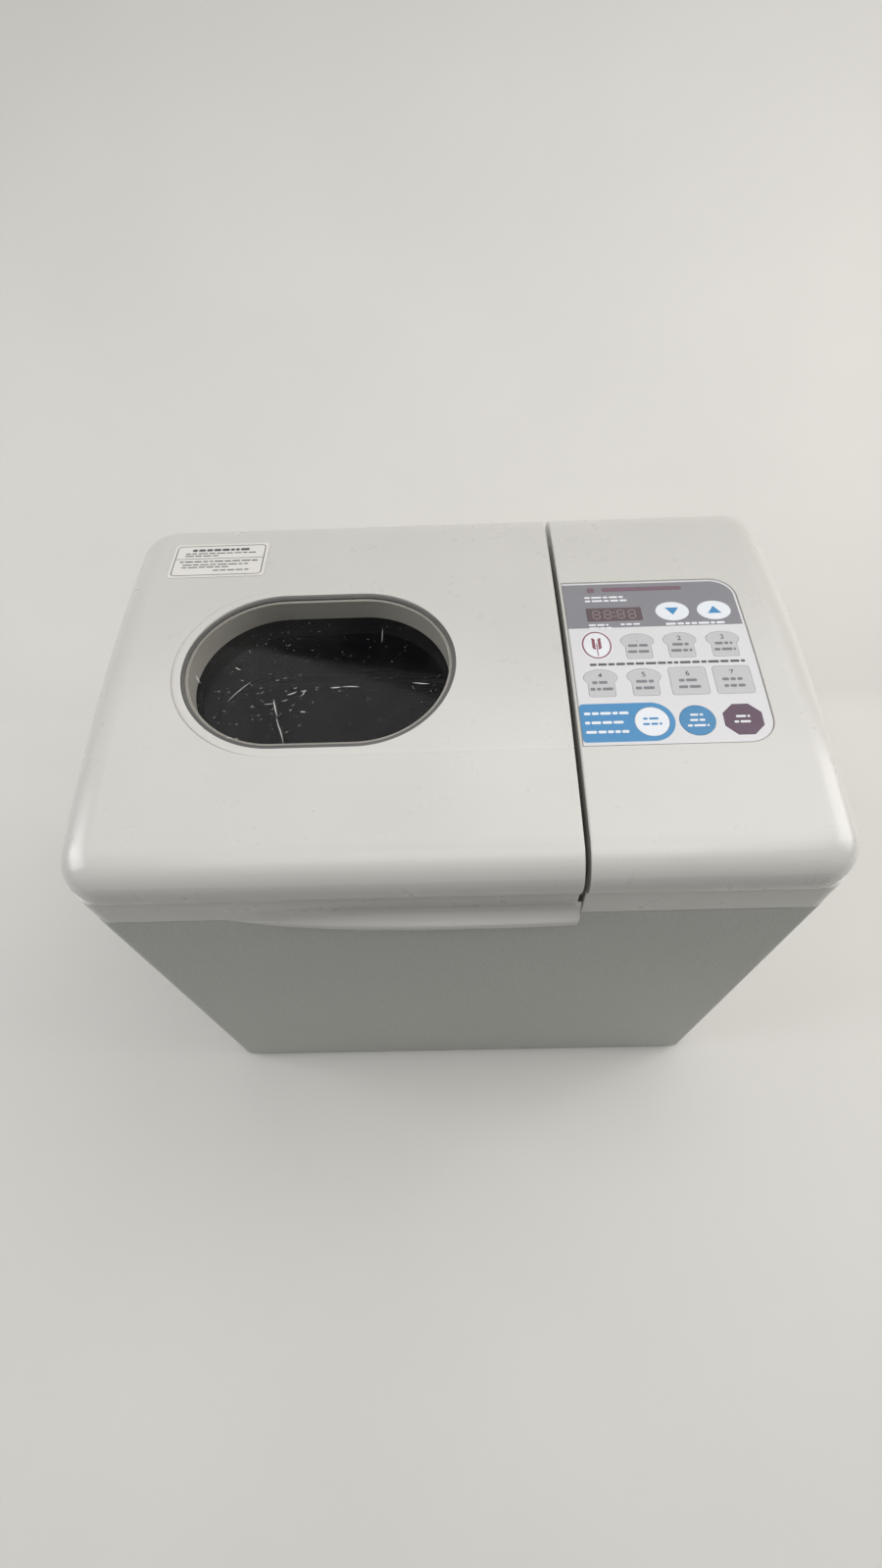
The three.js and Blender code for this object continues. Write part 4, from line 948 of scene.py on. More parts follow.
KEYS = {
    "timer_down": (oval_key, KEY_WHITE, "key_white"),
    "timer_up": (oval_key, KEY_WHITE, "key_white"),
    "program_1": (loaf_key, KEY_GREY, "key_grey"),
    "program_2": (loaf_key, KEY_GREY, "key_grey"),
    "program_3": (loaf_key, KEY_GREY, "key_grey"),
    "program_4": (loaf_key, KEY_GREY, "key_grey"),
    "program_5": (loaf_key, KEY_GREY, "key_grey"),
    "program_6": (square_key, KEY_GREY, "key_grey"),
    "program_7": (square_key, KEY_GREY, "key_grey"),
    "crust": (oval_key, KEY_WHITE, "key_white"),
    "start": (oval_key, KEY_BLUE, "key_blue"),
    "stop": (octagon_key, KEY_PURPLE, "key_purple"),
}
KEY_FLANGE = 0.8 * MM
KEY_TOP = 0.27 * MM
FILM_CLEARANCE = 0.12 * MM


def key_place(name):
    """Centre and size of a key's pad, from its CAD node without the flange under the cover."""
    low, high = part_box(f"key_{name}")
    pad = [side - 2 * KEY_FLANGE for side in spans(low, high)[:2]]
    return middle(low, high)[:2] + pad


def key_cutter(grow):
    outlines = [shape(*key_place(name), grow) for name, (shape, _, _) in KEYS.items()]
    return through_top("key_cutter", outlines)


def digits(name, text, size, x, y, depth, material, body, slot):
    curve = bpy.data.curves.new(name, "FONT")
    curve.body = text
    curve.size = size
    curve.align_x = "CENTER"
    curve.align_y = "CENTER"
    curve.extrude = PRINT_T / 2
    curve.offset = 0.014 * size
    obj = bpy.data.objects.new(name, curve)
    bpy.context.scene.collection.objects.link(obj)
    mesh = bpy.data.meshes.new_from_object(obj.evaluated_get(bpy.context.evaluated_depsgraph_get()))
    bpy.data.objects.remove(obj)
    mesh.transform(Matrix.Translation((x, y, HEIGHT - depth - PRINT_T / 2)))
    made = bpy.data.objects.new(name, mesh)
    bpy.context.scene.collection.objects.link(made)
    return finish_piece(crown(made, 20 * MM), material, body, slot)


def print_on(name, outlines, surface_depth, material, body, slot, holes=None):
    top = surface_depth - PRINT_PROUD
    obj = top_sheet(name, outlines, top, top + PRINT_T, holes)
    return finish_piece(crown(obj), material, body, slot)


def print_on_film(name, outlines, material, layer=0, holes=None):
    """Print on the film, or on print that is there already if layer is 1."""
    return print_on(name, outlines, FILM_TOP - layer * PRINT_PROUD, material, "base", "film", holes)


def build_key(name):
    """A pad with a soft edge; each level gives how far it grows and its depth, in millimetres."""
    shape, material, slot = KEYS[name]
    x, y, width, depth = key_place(name)
    levels = [(0, 3.4), (0, 0.52), (-0.04, 0.42), (-0.12, 0.34), (-0.26, 0.29), (-0.5, 0.27)]
    rings = []
    for grow, down in levels:
        outline = shape(x, y, width, depth, grow * MM)
        rings.append([(u, v, HEIGHT - down * MM) for u, v in outline])
    finish_piece(crown(skin(f"key_{name}_fine", rings)), material, f"button_{name}", slot, f"key_{name}")


def build_key_prints():
    rng = random.Random(5)
    for number in range(1, 8):
        name = f"program_{number}"
        x, y = key_place(name)[:2]
        body = f"button_{name}"
        digit = f"key_{name}_digit"
        digits(digit, str(number), 4.2 * MM, x, y + 4.3 * MM, KEY_TOP, PRINT_DARK, body, "key_grey")
        widths = [rng.uniform(8, 11) * MM, rng.uniform(9.5, 11.5) * MM]
        outlines = text_lines(x, y + 0.2 * MM, widths, 1.7 * MM, 4 * MM, rng)
        print_on(f"key_{name}_print", outlines, KEY_TOP, PRINT_GREY, body, "key_grey")
    for name, turn in (("timer_down", -1), ("timer_up", 1)):
        x, y = key_place(name)[:2]
        base = y - turn * 2.4 * MM
        outline = [(x - 3.5 * MM, base), (x + 3.5 * MM, base), (x, y + turn * 2.8 * MM)]
        outline = outline if turn > 0 else list(reversed(outline))
        print_on(f"key_{name}_print", [outline], KEY_TOP, PRINT_BLUE, f"button_{name}", "key_white")
    for name, material, widths in (
        ("crust", PRINT_BLUE, [8, 9]),
        ("start", PRINT_WHITE, [6, 7, 10]),
        ("stop", PRINT_WHITE, [6.5, 9]),
    ):
        x, y = key_place(name)[:2]
        pitch = 3 * MM
        first = y + pitch * (len(widths) - 1) / 2
        outlines = text_lines(x, first, [w * MM for w in widths], 1.2 * MM, pitch, rng)
        print_on(f"key_{name}_print", outlines, KEY_TOP, material, f"button_{name}", KEYS[name][2])


def seven_segments(x, y, width, height, line):
    """The seven bars of one digit, all shown because an unlit display shows them all."""
    half_w = width / 2 - line / 2
    half_h = height / 2 - line / 2
    across = [
        rounded_box(x, y + v, width - 1.6 * line, line * 0.8, line * 0.3, 1)
        for v in (-half_h, 0, half_h)
    ]
    upright = [
        rounded_box(x + u, y + v, line * 0.8, height / 2 - 1.3 * line, line * 0.3, 1)
        for u in (-half_w, half_w)
        for v in (-half_h / 2, half_h / 2)
    ]
    return across + upright


def build_display():
    x, y = middle(display_low, display_high)[:2]
    width, depth = spans(display_low, display_high)[:2]
    lens_top = 0.34 * MM
    lens = top_sheet("display_lens_fine", [rounded_box(x, y, width, depth, 0.8 * MM)], lens_top, 2 * MM)
    bevel(lens, 0.12 * MM, 2)
    finish_piece(crown(lens), LENS, "base", "window_glass", "display_lens")
    outlines = []
    for place in (-9.2, -3.4, 3.4, 9.2):
        outlines += seven_segments(x + place * MM, y, 4.2 * MM, 6.6 * MM, 0.85 * MM)
    outlines += [circle(x, y + v * MM, 0.5 * MM, 10) for v in (-1.5, 1.5)]
    print_on("display_segments", outlines, lens_top, SEGMENT, "base", "window_glass")


def wheat_ear(x, y):
    """A generic ear of grain: a stem with pairs of kernels."""
    outlines = [rounded_box(x, y - 1.2 * MM, 0.5 * MM, 8.4 * MM, 0.2 * MM, 2)]
    for i in range(4):
        for side in (-1, 1):
            cx = x + side * 1.5 * MM
            cy = y + (0.2 + 1.75 * i) * MM
            kernel = ellipse(0, 0, 0.72 * MM, 1.3 * MM, 16)
            tilt = -side * math.radians(32)
            outlines.append([
                (cx + u * math.cos(tilt) - v * math.sin(tilt), cy + u * math.sin(tilt) + v * math.cos(tilt))
                for u, v in kernel
            ])
    return outlines


def build_film():
    film = top_sheet("panel_film_fine", [film_outline(0)], FILM_TOP, FILM_DEPTH, key_cutter(FILM_CLEARANCE))
    x, y = middle(display_low, display_high)[:2]
    width, depth = [side + 0.2 * MM for side in spans(display_low, display_high)[:2]]
    boolean(film, through_top("display_cutter", [rounded_box(x, y, width, depth, 0.9 * MM)]))
    finish_piece(crown(film), FILM, "base", "film", "panel_film")


def build_panel_prints():
    """Header, blue block, captions, badge and marks, placed from the keys' columns and rows."""
    rng = random.Random(8)
    columns = [key_place(f"program_{i}")[0] for i in (4, 5, 6, 7)]
    rows = [key_place(name)[1] for name in ("timer_up", "program_1", "program_4", "crust")]
    split = (rows[0] + rows[1]) / 2 + 1.2 * MM
    margin = 1.1 * MM
    left = film_low.x
    rear = film_high.y - margin
    right = film_high.x - margin
    corner = FILM_CORNER - margin
    header = [(left, split), (right, split)]
    header += arc(right - corner, rear - corner, corner, 0, 90, 12) + [(left, rear)]
    print_on_film("panel_header", [header], HEADER, 0, key_cutter(FILM_CLEARANCE))
    block_half = 10.8 * MM
    round_in = 2 * MM
    cx, cy = key_place("crust")[:2]
    block = arc(cx, cy, block_half, -90, 90, 24)
    block += arc(left + round_in, cy + block_half - round_in, round_in, 90, 180, 5)
    block += arc(left + round_in, cy - block_half + round_in, round_in, 180, 270, 5)
    print_on_film("panel_crust_block", [block], PRINT_BLUE, 0, key_cutter(FILM_CLEARANCE))

    text_x = display_low.x + 0.4 * MM
    high_row = rows[0] + 11.6 * MM
    low_row = display_low.y - 2.4 * MM
    timer_x = (columns[2] + columns[3]) / 2
    on_header = text_lines(text_x, high_row, [21 * MM, 23 * MM], 1.3 * MM, 2.6 * MM, rng, True)
    on_header += text_lines(text_x, low_row, [10 * MM, 12 * MM], 1.2 * MM, 2.2 * MM, rng, True)
    on_header += text_lines(display_high.x - 12 * MM, low_row, [11 * MM], 1.2 * MM, 2.2 * MM, rng, True)
    on_header += text_lines(timer_x, low_row - 0.6 * MM, [31 * MM], 1.5 * MM, 3 * MM, rng)
    print_on_film("panel_header_print", on_header, PRINT_WHITE, 1)
    mark = rounded_box(columns[0] + 2.4 * MM, rear - 4.6 * MM, 4 * MM, 3.6 * MM, 0.9 * MM)
    stripe = rounded_box(columns[1] + 8 * MM, rear - 4.4 * MM, 42 * MM, 3 * MM, 1.2 * MM)
    print_on_film("panel_header_mark", [mark, stripe], PRINT_MAUVE, 1)

    middle = (rows[1] + rows[2]) / 2
    dark = text_lines((columns[0] + columns[3]) / 2 + 2 * MM, middle, [76 * MM], 1.5 * MM, 3 * MM, rng)
    print_on_film("panel_dark_print", dark, PRINT_DARK)
    widths = [21 * MM, 18 * MM, 20 * MM]
    pitch = 5.2 * MM
    block_text = text_lines(left + 2 * MM, cy + pitch, widths, 1.5 * MM, pitch, rng, True)
    print_on_film("panel_block_print", block_text, PRINT_WHITE, 1)

    badge_x = columns[0] + 0.8 * MM
    badge_y = rows[1] + 1.4 * MM
    badge, outer, inner = [
        ellipse(badge_x, badge_y, half_x * MM, half_y * MM)
        for half_x, half_y in ((8, 9.6), (7.4, 9), (6.6, 8.2))
    ]
    print_on_film("panel_badge", [badge], PRINT_WHITE)
    picture = between(outer, inner) + wheat_ear(badge_x, badge_y - 2 * MM)
    print_on_film("panel_badge_print", picture, PRINT_RED, 1)


def build_control_cover():
    cover = housing_half("control_cover_fine", COVER_EDGE, 1)
    low = [(x, y, HEIGHT - POCKET_DEPTH) for x, y in film_outline(0.4 * MM)]
    high = [(x, y, HEIGHT + 2 * MM) for x, y in film_outline(1.1 * MM)]
    boolean(cover, skin("pocket", [low, high]))
    boolean(cover, key_cutter(GAP))
    finish_piece(crown(cover), HOUSING, "base", "housing_plastic", "control_cover")


# ---------- case, deck, rear cover, feet ----------

CASE_CORNER = 8 * MM


def wall_ring(inset, z, steps=16):
    outline = rounded_box(0, 0, 2 * (CASE_SIDE - inset), 2 * (CASE_FACE - inset), CASE_CORNER - inset, steps)
    return [(x, y, z) for x, y in outline]


def build_case():
    edge = 0.5 * MM
    rings = [
        wall_ring(SHEET, CASE_TOP),
        wall_ring(SHEET, CASE_BOTTOM),
        wall_ring(edge, CASE_BOTTOM),
        wall_ring(0, CASE_BOTTOM + edge),
        wall_ring(0, CASE_TOP - edge),
        wall_ring(edge, CASE_TOP),
    ]
    wrap = skin("case_wrap_fine", rings, closed=True)
    half_opening = 146 * MM
    edge_left = 20 * MM
    low = (-half_opening, 0, edge_left)
    boolean(wrap, box_bar("opening", low, (half_opening, FAR, CASE_TOP - edge_left)))
    finish_piece(wrap, PAINT, "base", "case_paint", "case_wrap")


def build_rear_cover():
    x, _, z = middle(rear_low, rear_high)
    width, _, height = spans(rear_low, rear_high)
    outline = rounded_box(x, z, width, height, 8 * MM, 8)
    cover = bars("rear_cover_fine", [outline], rear_low.y, rear_high.y, "Y")
    slots = []
    pitch = 12
    for centre, first, count in ((96, 190, 6), (-70, 190, 6), (96, 44, 3)):
        for row in range(count):
            slot_z = (first + pitch * row) * MM
            slots.append(rounded_box(centre * MM, slot_z, 64 * MM, 4 * MM, 1.9 * MM, 6))
    x, _, z = middle(gland_low, gland_high)
    slots.append(circle(x, z, 9.3 * MM, 40))
    for i in range(1, 5):
        x, _, z = middle(*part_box(f"rear_screw_{i}"))
        slots.append(circle(x, z, 2.1 * MM, 20))
    boolean(cover, bars("slots", slots, 0, FAR, "Y"))
    bevel(cover, 0.4 * MM, 2, 50)
    finish_piece(cover, HOUSING, "base", "housing_plastic", "rear_cover")


def build_gland():
    """From the bore inside, round the nut, the neck in the wall and the flange, to the mouth."""
    x, _, z = middle(gland_low, gland_high)
    inner = rear_low.y
    wall = rear_high.y
    mouth = gland_high.y
    bore, neck, nut = 4.2 * MM, 9 * MM, 11 * MM
    profile = [(bore, inner - 8 * MM), (nut, inner - 8 * MM), (nut, inner - GAP), (neck, inner - GAP)]
    profile += [(neck, wall + GAP), (11.6 * MM, wall + GAP), (11.9 * MM, wall + 0.7 * MM)]
    profile += [(11.2 * MM, wall + 2.4 * MM), (7.2 * MM, wall + 3.4 * MM), (6.4 * MM, mouth)]
    profile += [(4.6 * MM, mouth), (bore, mouth - 0.4 * MM)]
    gland = turned("cord_gland_fine", profile, (x, 0, z), "Y", 48, closed=True)
    finish_piece(gland, DARK, "base", "dark_plastic", "cord_gland")


def build_rear_screws():
    for i in range(1, 5):
        low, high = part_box(f"rear_screw_{i}")
        x, _, z = middle(low, high)
        head = rear_high.y + GAP
        shank_r, head_r = 1.8 * MM, 3.5 * MM
        profile = [(0, low.y), (shank_r, low.y), (shank_r, head), (head_r, head)]
        profile += [(head_r, head + 0.5 * MM), (2.9 * MM, head + 1.4 * MM)]
        profile += [(1.4 * MM, high.y - 0.1 * MM), (0, high.y)]
        screw = turned(f"rear_screw_{i}_fine", profile, (x, 0, z), "Y", 28)
        slot_length, slot_width = 3.8 * MM, 0.8 * MM
        for width, height in ((slot_length, slot_width), (slot_width, slot_length)):
            slot = rounded_box(x, z, width, height, 0.1 * MM, 1)
            boolean(screw, bars("cross", [slot], head + 0.9 * MM, FAR, "Y"))
        finish_piece(screw, BRIGHT_STEEL, "base", "plated_steel", f"rear_screw_{i}")


def build_feet():
    for node in ("foot_front_left", "foot_front_right", "foot_rear_left", "foot_rear_right"):
        low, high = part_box(node)
        x, y = middle(low, high)[:2]
        profile = [(0, 0), (9 * MM, 0), (10 * MM, 0.3 * MM), (10.9 * MM, 1.4 * MM)]
        profile += [(11.5 * MM, high.z), (0, high.z)]
        foot = turned(f"{node}_fine", profile, (x, y, 0), "Z", 40)
        finish_piece(foot, RUBBER, "base", "rubber", node)


def build_deck():
    inset = SHEET + GAP
    deck = bars("top_deck_fine", [[p[:2] for p in wall_ring(inset, 0)]], deck_low.z, CASE_TOP)
    mouth = rounded_box(OVEN_X, OVEN_Y, 184 * MM, 170 * MM, OVEN_CORNER, 14)
    boolean(deck, bars("mouth", [mouth], 0, FAR))
    wiring_x = 118 * MM
    wiring = rounded_box(wiring_x, 0, 70 * MM, 120 * MM, 6 * MM, 6)
    boolean(deck, bars("wiring", [wiring], 0, FAR))
    bevel(deck, 0.6 * MM, 3, 50)
    edge = CASE_FACE - SHEET - GAP - 0.6 * MM
    root = deck_low.z + 0.5 * MM
    profile = arc(HINGE_Y, HINGE_Z, KNUCKLE_R, 0, 180, 20)
    profile += [(HINGE_Y - KNUCKLE_R, root), (edge, root)]
    profile += [(edge, CASE_TOP + GAP), (HINGE_Y + KNUCKLE_R, CASE_TOP + GAP)]
    for x in HINGE_XS:
        boolean(deck, bars("post", [profile], x - POST_HALF, x + POST_HALF, "X"), "UNION")
        boolean(deck, pin_hole(x - POST_HALF, x + POST_HALF))
    finish_piece(deck, HOUSING, "base", "housing_plastic", "top_deck")


# ---------- oven, pan and what lies in it ----------

def centred_ring(half_width, half_depth, corner, z, steps=14):
    outline = rounded_box(OVEN_X, OVEN_Y, 2 * half_width, 2 * half_depth, corner, steps)
    return [(x, y, z) for x, y in outline]


ELEMENT_LEAD = 12 * MM


def build_liner():
    """Up the outside, over the flange, down the inside and across the floor."""
    sheet = 0.8 * MM
    half_x, half_y = 92 * MM, 85 * MM
    floor, top = liner_low.z, liner_high.z
    flange = 7 * MM
    field = -20 * MM
    levels = [(field, floor), (-1.2 * MM, floor), (0, floor + 1.2 * MM), (0, top - 2 * MM)]
    levels += [(1.2 * MM, top - sheet), (flange, top - sheet), (flange, top), (0.8 * MM, top)]
    levels += [(-sheet, top - 1.6 * MM), (-sheet, floor + 2.4 * MM), (-2.4 * MM, floor + sheet)]
    levels += [(field, floor + sheet)]
    rings = [centred_ring(half_x + grow, half_y + grow, OVEN_CORNER + grow, z) for grow, z in levels]
    liner = skin("oven_liner_fine", rings)
    boolean(liner, bars("collar", [circle(OVEN_X, OVEN_Y, 13.3 * MM, 40)], 0, floor + 5 * MM))
    element_z = middle(*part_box("heating_element"))[2]
    sensor_y, sensor_z = middle(*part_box("temperature_sensor"))[1:]
    holes = [circle(OVEN_Y + side * ELEMENT_LEAD, element_z, 3.5 * MM, 24) for side in (-1, 1)]
    holes.append(circle(sensor_y, sensor_z, 2.7 * MM, 24))
    boolean(liner, bars("wall_holes", holes, 0, FAR, "X"))
    finish_piece(liner, SHEET_STEEL, "base", "sheet_steel", "oven_liner")


def build_inner_plate():
    """The lid's pressed underside: a flange, a dished field and an oval hole under the window."""
    sheet = 1 * MM
    half_x, half_y = 95 * MM, 87 * MM
    x, y = middle(plate_low, plate_high)[:2]
    width, depth = spans(plate_low, plate_high)[:2]
    flange_z = plate_low.z
    top = plate_high.z
    outer = rounded_box(x, y, width, depth, 15.9 * MM, 14)

    def level(grow, inset, z):
        return centred_ring(half_x + grow - inset, half_y + grow - inset, OVEN_CORNER + grow - inset / 2, z)

    bend = 2 * MM
    field_edge = [(3 * MM, top - 6 * MM), (5 * MM, top - bend), (10 * MM, top)]
    rings = [[(u, v, flange_z) for u, v in outer], [(u, v, flange_z + sheet) for u, v in outer]]
    rings += [level(sheet + bend, 0, flange_z + sheet), level(sheet, 0, flange_z + sheet + bend)]
    rings += [level(sheet, inset, z) for inset, z in field_edge]
    rings += [level(0, inset, z - sheet) for inset, z in reversed(field_edge)]
    rings += [level(0, 0, flange_z + bend), level(bend, 0, flange_z)]
    bm = bmesh.new()
    add_skin(bm, rings[:7], caps=False)
    add_skin(bm, rings[7:], caps=False)
    for ring in (rings[6], rings[7]):
        bm.faces.new([bm.verts.new(p) for p in ring])
    first = [bm.verts.new(p) for p in rings[0]]
    last = [bm.verts.new(p) for p in rings[-1]]
    count = len(first)
    for i in range(count):
        j = (i + 1) % count
        bm.faces.new((first[i], first[j], last[j], last[i]))
    bmesh.ops.remove_doubles(bm, verts=bm.verts, dist=1e-7)
    bmesh.ops.recalc_face_normals(bm, faces=bm.faces)
    plate = new_object("lid_inner_plate_fine", bm)
    boolean(plate, bars("hole", [stadium(-6 * MM)], top - 5 * MM, FAR))
    finish_piece(plate, SHEET_STEEL, "lid", "sheet_steel", "lid_inner_plate")


def build_pan():
    """Drafted walls with a rolled rim, a boss for the shaft and an ear on each side for the bail."""
    top, bottom = pan_high.z, pan_low.z
    draft, wall, bead = 6 * MM, 1.6 * MM, 2 * MM
    half_x, half_y = 75 * MM, 66 * MM

    def level(grow, z):
        inset = draft * (1 - (z - bottom) / (top - bottom)) - grow
        return centred_ring(half_x - inset, half_y - inset, OVEN_CORNER - inset, z)

    rings = [level(-5 * MM, bottom), level(-1.6 * MM, bottom + 0.9 * MM), level(0, bottom + 4 * MM)]
    rings += [level(0, top - 2.2 * MM)]
    for i in range(7):
        angle = math.radians(-60 + 30 * i)
        grow = bead / 2 + bead / 2 * math.cos(angle)
        rings.append(level(grow, top - bead / 2 + bead / 2 * math.sin(angle)))
    rings += [level(-wall, top - 1.4 * MM), level(-wall, bottom + 7 * MM)]
    rings += [level(-wall - 2 * MM, bottom + 3 * MM), level(-wall - 6 * MM, bottom + 2 * MM)]
    pan = skin("bread_pan_fine", rings)
    boolean(pan, bars("boss", [circle(OVEN_X, OVEN_Y, 9 * MM, 36)], bottom, bottom + 6 * MM), "UNION")
    boolean(pan, bars("bore", [circle(OVEN_X, OVEN_Y, SHAFT_BORE, 24)], 0, bottom + 20 * MM))
    for side in (-1, 1):
        ends = sorted((OVEN_X + side * 74 * MM, pan_high.x if side > 0 else pan_low.x))
        boolean(pan, bars("ear", [circle(OVEN_Y, BAIL_PIVOT_Z, 2 * MM, 24)], *ends, "X"), "UNION")
    finish_piece(pan, NON_STICK, "pan", "non_stick", "bread_pan")


def build_bail():
    low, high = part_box("bail_handle")
    wire = 2.4 * MM
    side = (high.x - low.x) / 2 - wire
    grip_y = high.y - wire
    grip_z = high.z - wire
    slope = (grip_z - BAIL_PIVOT_Z) / (grip_y - OVEN_Y)
    past = 3 * MM
    end_z = BAIL_PIVOT_Z - past * slope
    corners = [
        (OVEN_X - side, OVEN_Y - past, end_z),
        (OVEN_X - side, grip_y, grip_z),
        (OVEN_X + side, grip_y, grip_z),
        (OVEN_X + side, OVEN_Y - past, end_z),
    ]
    bail = tube("bail_handle_fine", bend_path(corners, 10 * MM, 12), wire - 0.05 * MM)
    for x in (OVEN_X - side, OVEN_X + side):
        eye = circle(OVEN_Y, BAIL_PIVOT_Z, 4.3 * MM, 32)
        boolean(bail, bars("eye", [eye], x - 1.2 * MM, x + 1.2 * MM, "X"), "UNION")
    boolean(bail, bars("pivot", [circle(OVEN_Y, BAIL_PIVOT_Z, 2 * MM + GAP, 24)], -FAR, FAR, "X"))
    finish_piece(bail, BRIGHT_STEEL, "bail", "plated_steel", "bail_handle")


def build_element():
    low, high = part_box("heating_element")
    radius = (high.z - low.z) / 2
    z = low.z + radius
    half_x, half_y = 80 * MM, 73 * MM
    left, right = OVEN_X - half_x, OVEN_X + half_x
    places = [
        (high.x, OVEN_Y + ELEMENT_LEAD, z),
        (right, OVEN_Y + ELEMENT_LEAD, z),
        (right, OVEN_Y + half_y, z),
        (left, OVEN_Y + half_y, z),
        (left, OVEN_Y - half_y, z),
        (right, OVEN_Y - half_y, z),
        (right, OVEN_Y - ELEMENT_LEAD, z),
        (high.x, OVEN_Y - ELEMENT_LEAD, z),
    ]
    element = tube("heating_element_fine", bend_path(places, 8 * MM, 10), radius - 0.05 * MM)
    finish_piece(element, ELEMENT_STEEL, "base", "plated_steel", "heating_element")


def build_paddle():
    low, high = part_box("kneading_paddle")
    bottom, top = low.z, high.z
    hub = [(0, bottom), (10.4 * MM, bottom), (11 * MM, bottom + 0.8 * MM), (9.2 * MM, bottom + 22 * MM)]
    hub += [(8.4 * MM, bottom + 25 * MM), (6.4 * MM, top - 1.2 * MM), (4.6 * MM, top), (0, top)]
    paddle = turned("kneading_paddle_fine", hub, (OVEN_X, OVEN_Y, 0), "Z", 48)
    blade = [(0, bottom), (44 * MM, bottom), (47.6 * MM, bottom + 3 * MM)]
    blade += arc(34 * MM, bottom + 14 * MM, 12 * MM, 0, 90, 12) + [(0, bottom + 20 * MM)]
    outline = [(OVEN_X + u, z) for u, z in blade]
    fin = bars("fin", [outline], OVEN_Y - 2 * MM, OVEN_Y + 2 * MM, "Y")
    bevel(fin, 1.2 * MM, 4, 60)
    boolean(paddle, fin, "UNION")
    bore_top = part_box("pan_shaft")[1].z + GAP
    boolean(paddle, bars("bore", [circle(OVEN_X, OVEN_Y, SHAFT_BORE, 24)], 0, bore_top))
    finish_piece(paddle, NON_STICK, "paddle", "non_stick", "kneading_paddle")


# ---------- inner parts that keep their CAD shape ----------

CARRIED = {
    "base_pan": DARK,
    "hinge_pin_left": BRIGHT_STEEL,
    "hinge_pin_right": BRIGHT_STEEL,
    "temperature_sensor": BRIGHT_STEEL,
    "pan_clip": SHEET_STEEL,
    "compartment_wall": SHEET_STEEL,
    "drive_bearing_housing": CAST,
    "drive_shaft": BRIGHT_STEEL,
    "large_pulley": DARK,
    "small_pulley": DARK,
    "drive_belt": RUBBER,
    "motor_bracket": SHEET_STEEL,
    "motor_stator": WINDING,
    "motor_rotor": BRIGHT_STEEL,
    "motor_fan": DARK,
    "motor_capacitor": CAST,
    "power_board": CIRCUIT,
    "control_board": CIRCUIT,
    "pan_base": CAST,
    "pan_shaft": BRIGHT_STEEL,
    "pan_coupling": CAST,
}


def dress_carried():
    for name, material in CARRIED.items():
        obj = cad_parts[name]
        obj.data.materials.clear()
        obj.data.materials.append(material)
        modifier = obj.modifiers.new("edges", "BEVEL")
        modifier.width = 0.25 * MM
        modifier.segments = 2
        modifier.limit_method = "ANGLE"
        modifier.angle_limit = math.radians(50)


# ---------- camera, light and stage ----------

def build_camera():
    """The photograph's camera: where it stands, and how it is turned, tipped down and rolled."""
    place = Vector((0.65, -251.5, 633.6)) * MM
    yaw, pitch, roll = -0.0365, 1.016, -0.0572
    ahead = Vector((math.sin(yaw), math.cos(yaw), 0))
    right = Vector((math.cos(yaw), -math.sin(yaw), 0))
    up = Vector((0, 0, 1))
    forward = ahead * math.cos(pitch) - up * math.sin(pitch)
    top = ahead * math.sin(pitch) + up * math.cos(pitch)
    side = right * math.cos(roll) + top * math.sin(roll)
    top = -right * math.sin(roll) + top * math.cos(roll)
    data = bpy.data.cameras.new("camera")
    data.lens = 17.2
    data.sensor_width = 36
    data.clip_start = 0.01
    camera = bpy.data.objects.new("camera", data)
    columns = Matrix((side, top, -forward)).transposed()
    camera.matrix_world = Matrix.Translation(place) @ columns.to_4x4()
    bpy.context.scene.collection.objects.link(camera)
    bpy.context.scene.camera = camera


def soft_light(name, place, target, size, power, colour):
    data = bpy.data.lights.new(name, "AREA")
    data.shape = "RECTANGLE"
    data.size, data.size_y = size
    data.energy = power
    data.color = colour
    light = bpy.data.objects.new(name, data)
    light.location = place
    direction = Vector(target) - Vector(place)
    light.rotation_euler = direction.to_track_quat("-Z", "Y").to_euler()
    bpy.context.scene.collection.objects.link(light)


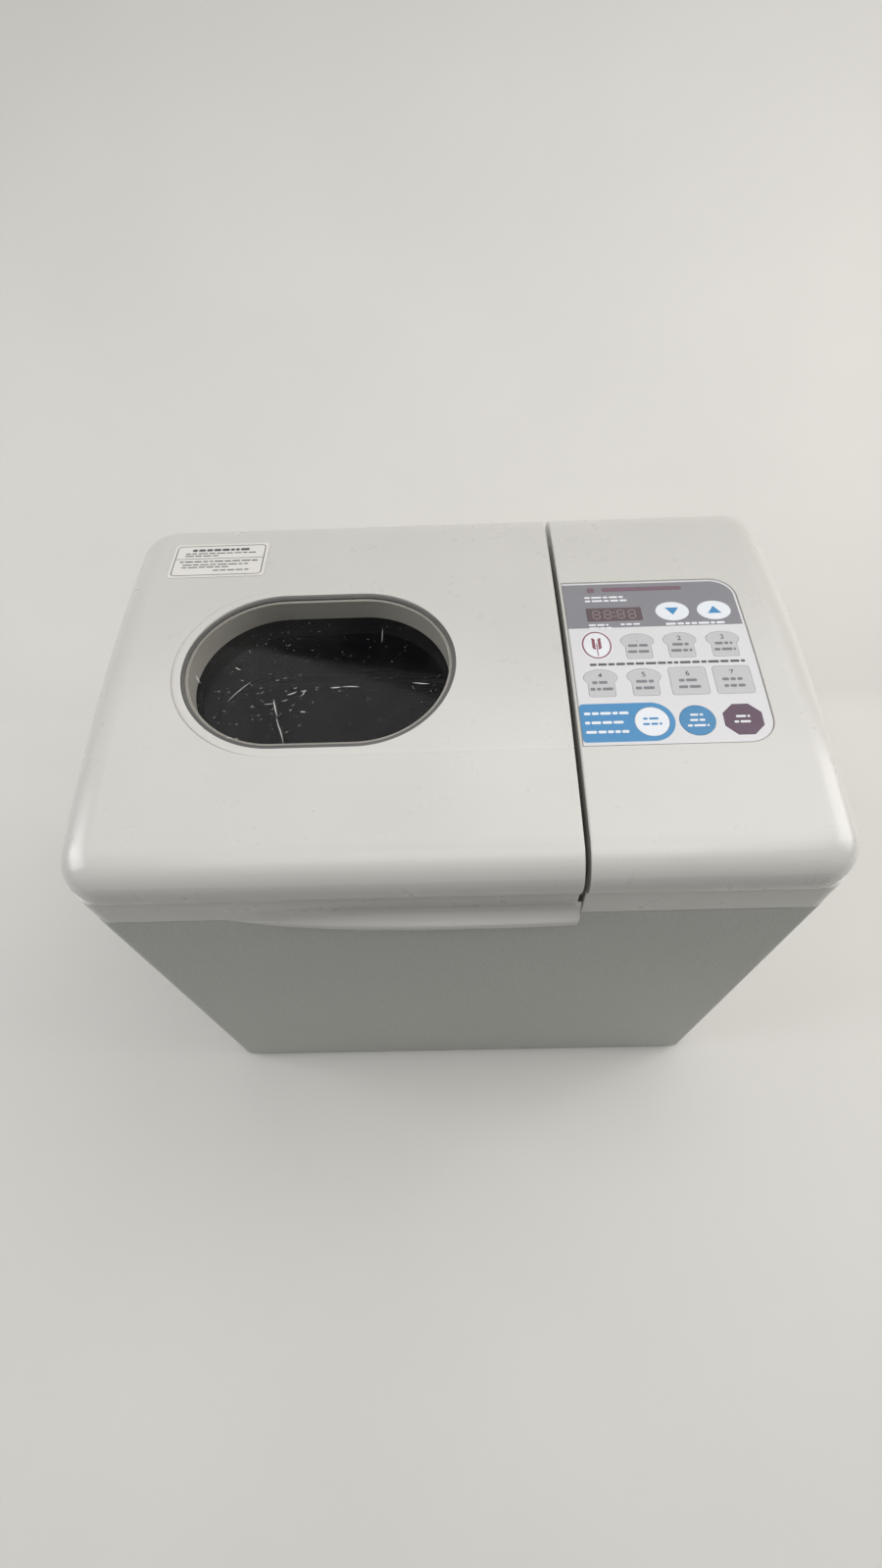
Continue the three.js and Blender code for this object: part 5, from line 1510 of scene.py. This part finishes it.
def build_stage():
    """A pale sheet of paper: the floor, a soft bend behind the machine and a leaning rear wall. In front of
    the machine the paper is darkened with painted shade.
    """
    bend_y, bend_r, bend_steps = 0.21, 0.05, 12
    lean = math.radians(34)
    half = 1.9
    run = 2.2
    profile = [(-2.6, 0), (-1.2, 0), (-0.4, 0), (bend_y, 0)]
    for i in range(1, bend_steps + 1):
        angle = lean * i / bend_steps
        profile.append((bend_y + bend_r * math.sin(angle), bend_r * (1 - math.cos(angle))))
    end_y, end_z = profile[-1]
    profile.append((end_y + run * math.cos(lean), end_z + run * math.sin(lean)))
    bm = bmesh.new()
    rows = [[bm.verts.new((x, y, z)) for x in (-half, half)] for y, z in profile]
    for low, high in zip(rows, rows[1:]):
        face = bm.faces.new((low[0], low[1], high[1], high[0]))
        face.smooth = True
    floor = new_object("paper_floor", bm)
    s = Shader("paper")
    colour = linear("#dcdad5")
    drift = s.remap(s.noise(3, 4), 0.3, 0.7, 0, 1)
    pale = s.blend(drift, shaded(colour, 0.97), shaded(colour, 1.02))
    split = s.node("ShaderNodeSeparateXYZ")
    s.link(s.where, split.inputs["Vector"])
    # painted shade: from 0.45 m to 1.1 m in front the paper darkens to 0.12 of its colour, standing in for a
    # dim room in front
    front = s.remap(split.outputs["Y"], -1.1, -0.45, 0, 1)
    s.set_colour(s.blend(front, shaded(colour, 0.12), pale))
    s.bump(s.noise(500, 4), 0.02 * MM)
    s.set(Roughness=0.75)
    floor.data.materials.append(s.material)


def build_light():
    """A dim room and five softboxes: a wide one overhead, two to the right, one left and one in front."""
    world = bpy.data.worlds.new("studio")
    world.use_nodes = True
    background = world.node_tree.nodes["Background"]
    background.inputs["Color"].default_value = (0.96, 0.975, 1.0, 1)
    background.inputs["Strength"].default_value = 0.03
    bpy.context.scene.world = world
    warm = (1.0, 0.99, 0.968)
    cool = (0.985, 0.99, 1.0)
    soft_light("overhead", (0.05, 0.12, 1.5), (0, 0, 0.2), (1.9, 1.3), 7.0, warm)
    soft_light("key", (0.65, 0.2, 1.3), (0.02, 0, 0.2), (1.2, 1.2), 5.2, warm)
    soft_light("right_side", (1.3, 0.1, 0.8), (0.1, 0, 0.2), (0.8, 0.8), 8.0, warm)
    soft_light("left_side", (-1.1, -0.1, 0.85), (-0.1, 0, 0.3), (0.7, 0.6), 6.4, cool)
    soft_light("front", (0.0, -0.62, 1.5), (0, 0.0, 0.1), (1.3, 0.6), 4.6, cool)
    bpy.context.scene.view_settings.view_transform = "Standard"


build_camera()
build_stage()
build_light()
build_lid_shell()
build_window()
build_scratches()
build_label()
build_control_cover()
build_film()
build_display()
for key_name in KEYS:
    build_key(key_name)
build_key_prints()
build_panel_prints()
build_case()
build_rear_cover()
build_gland()
build_rear_screws()
build_feet()
build_deck()
build_liner()
build_inner_plate()
build_pan()
build_bail()
build_element()
build_paddle()
dress_carried()
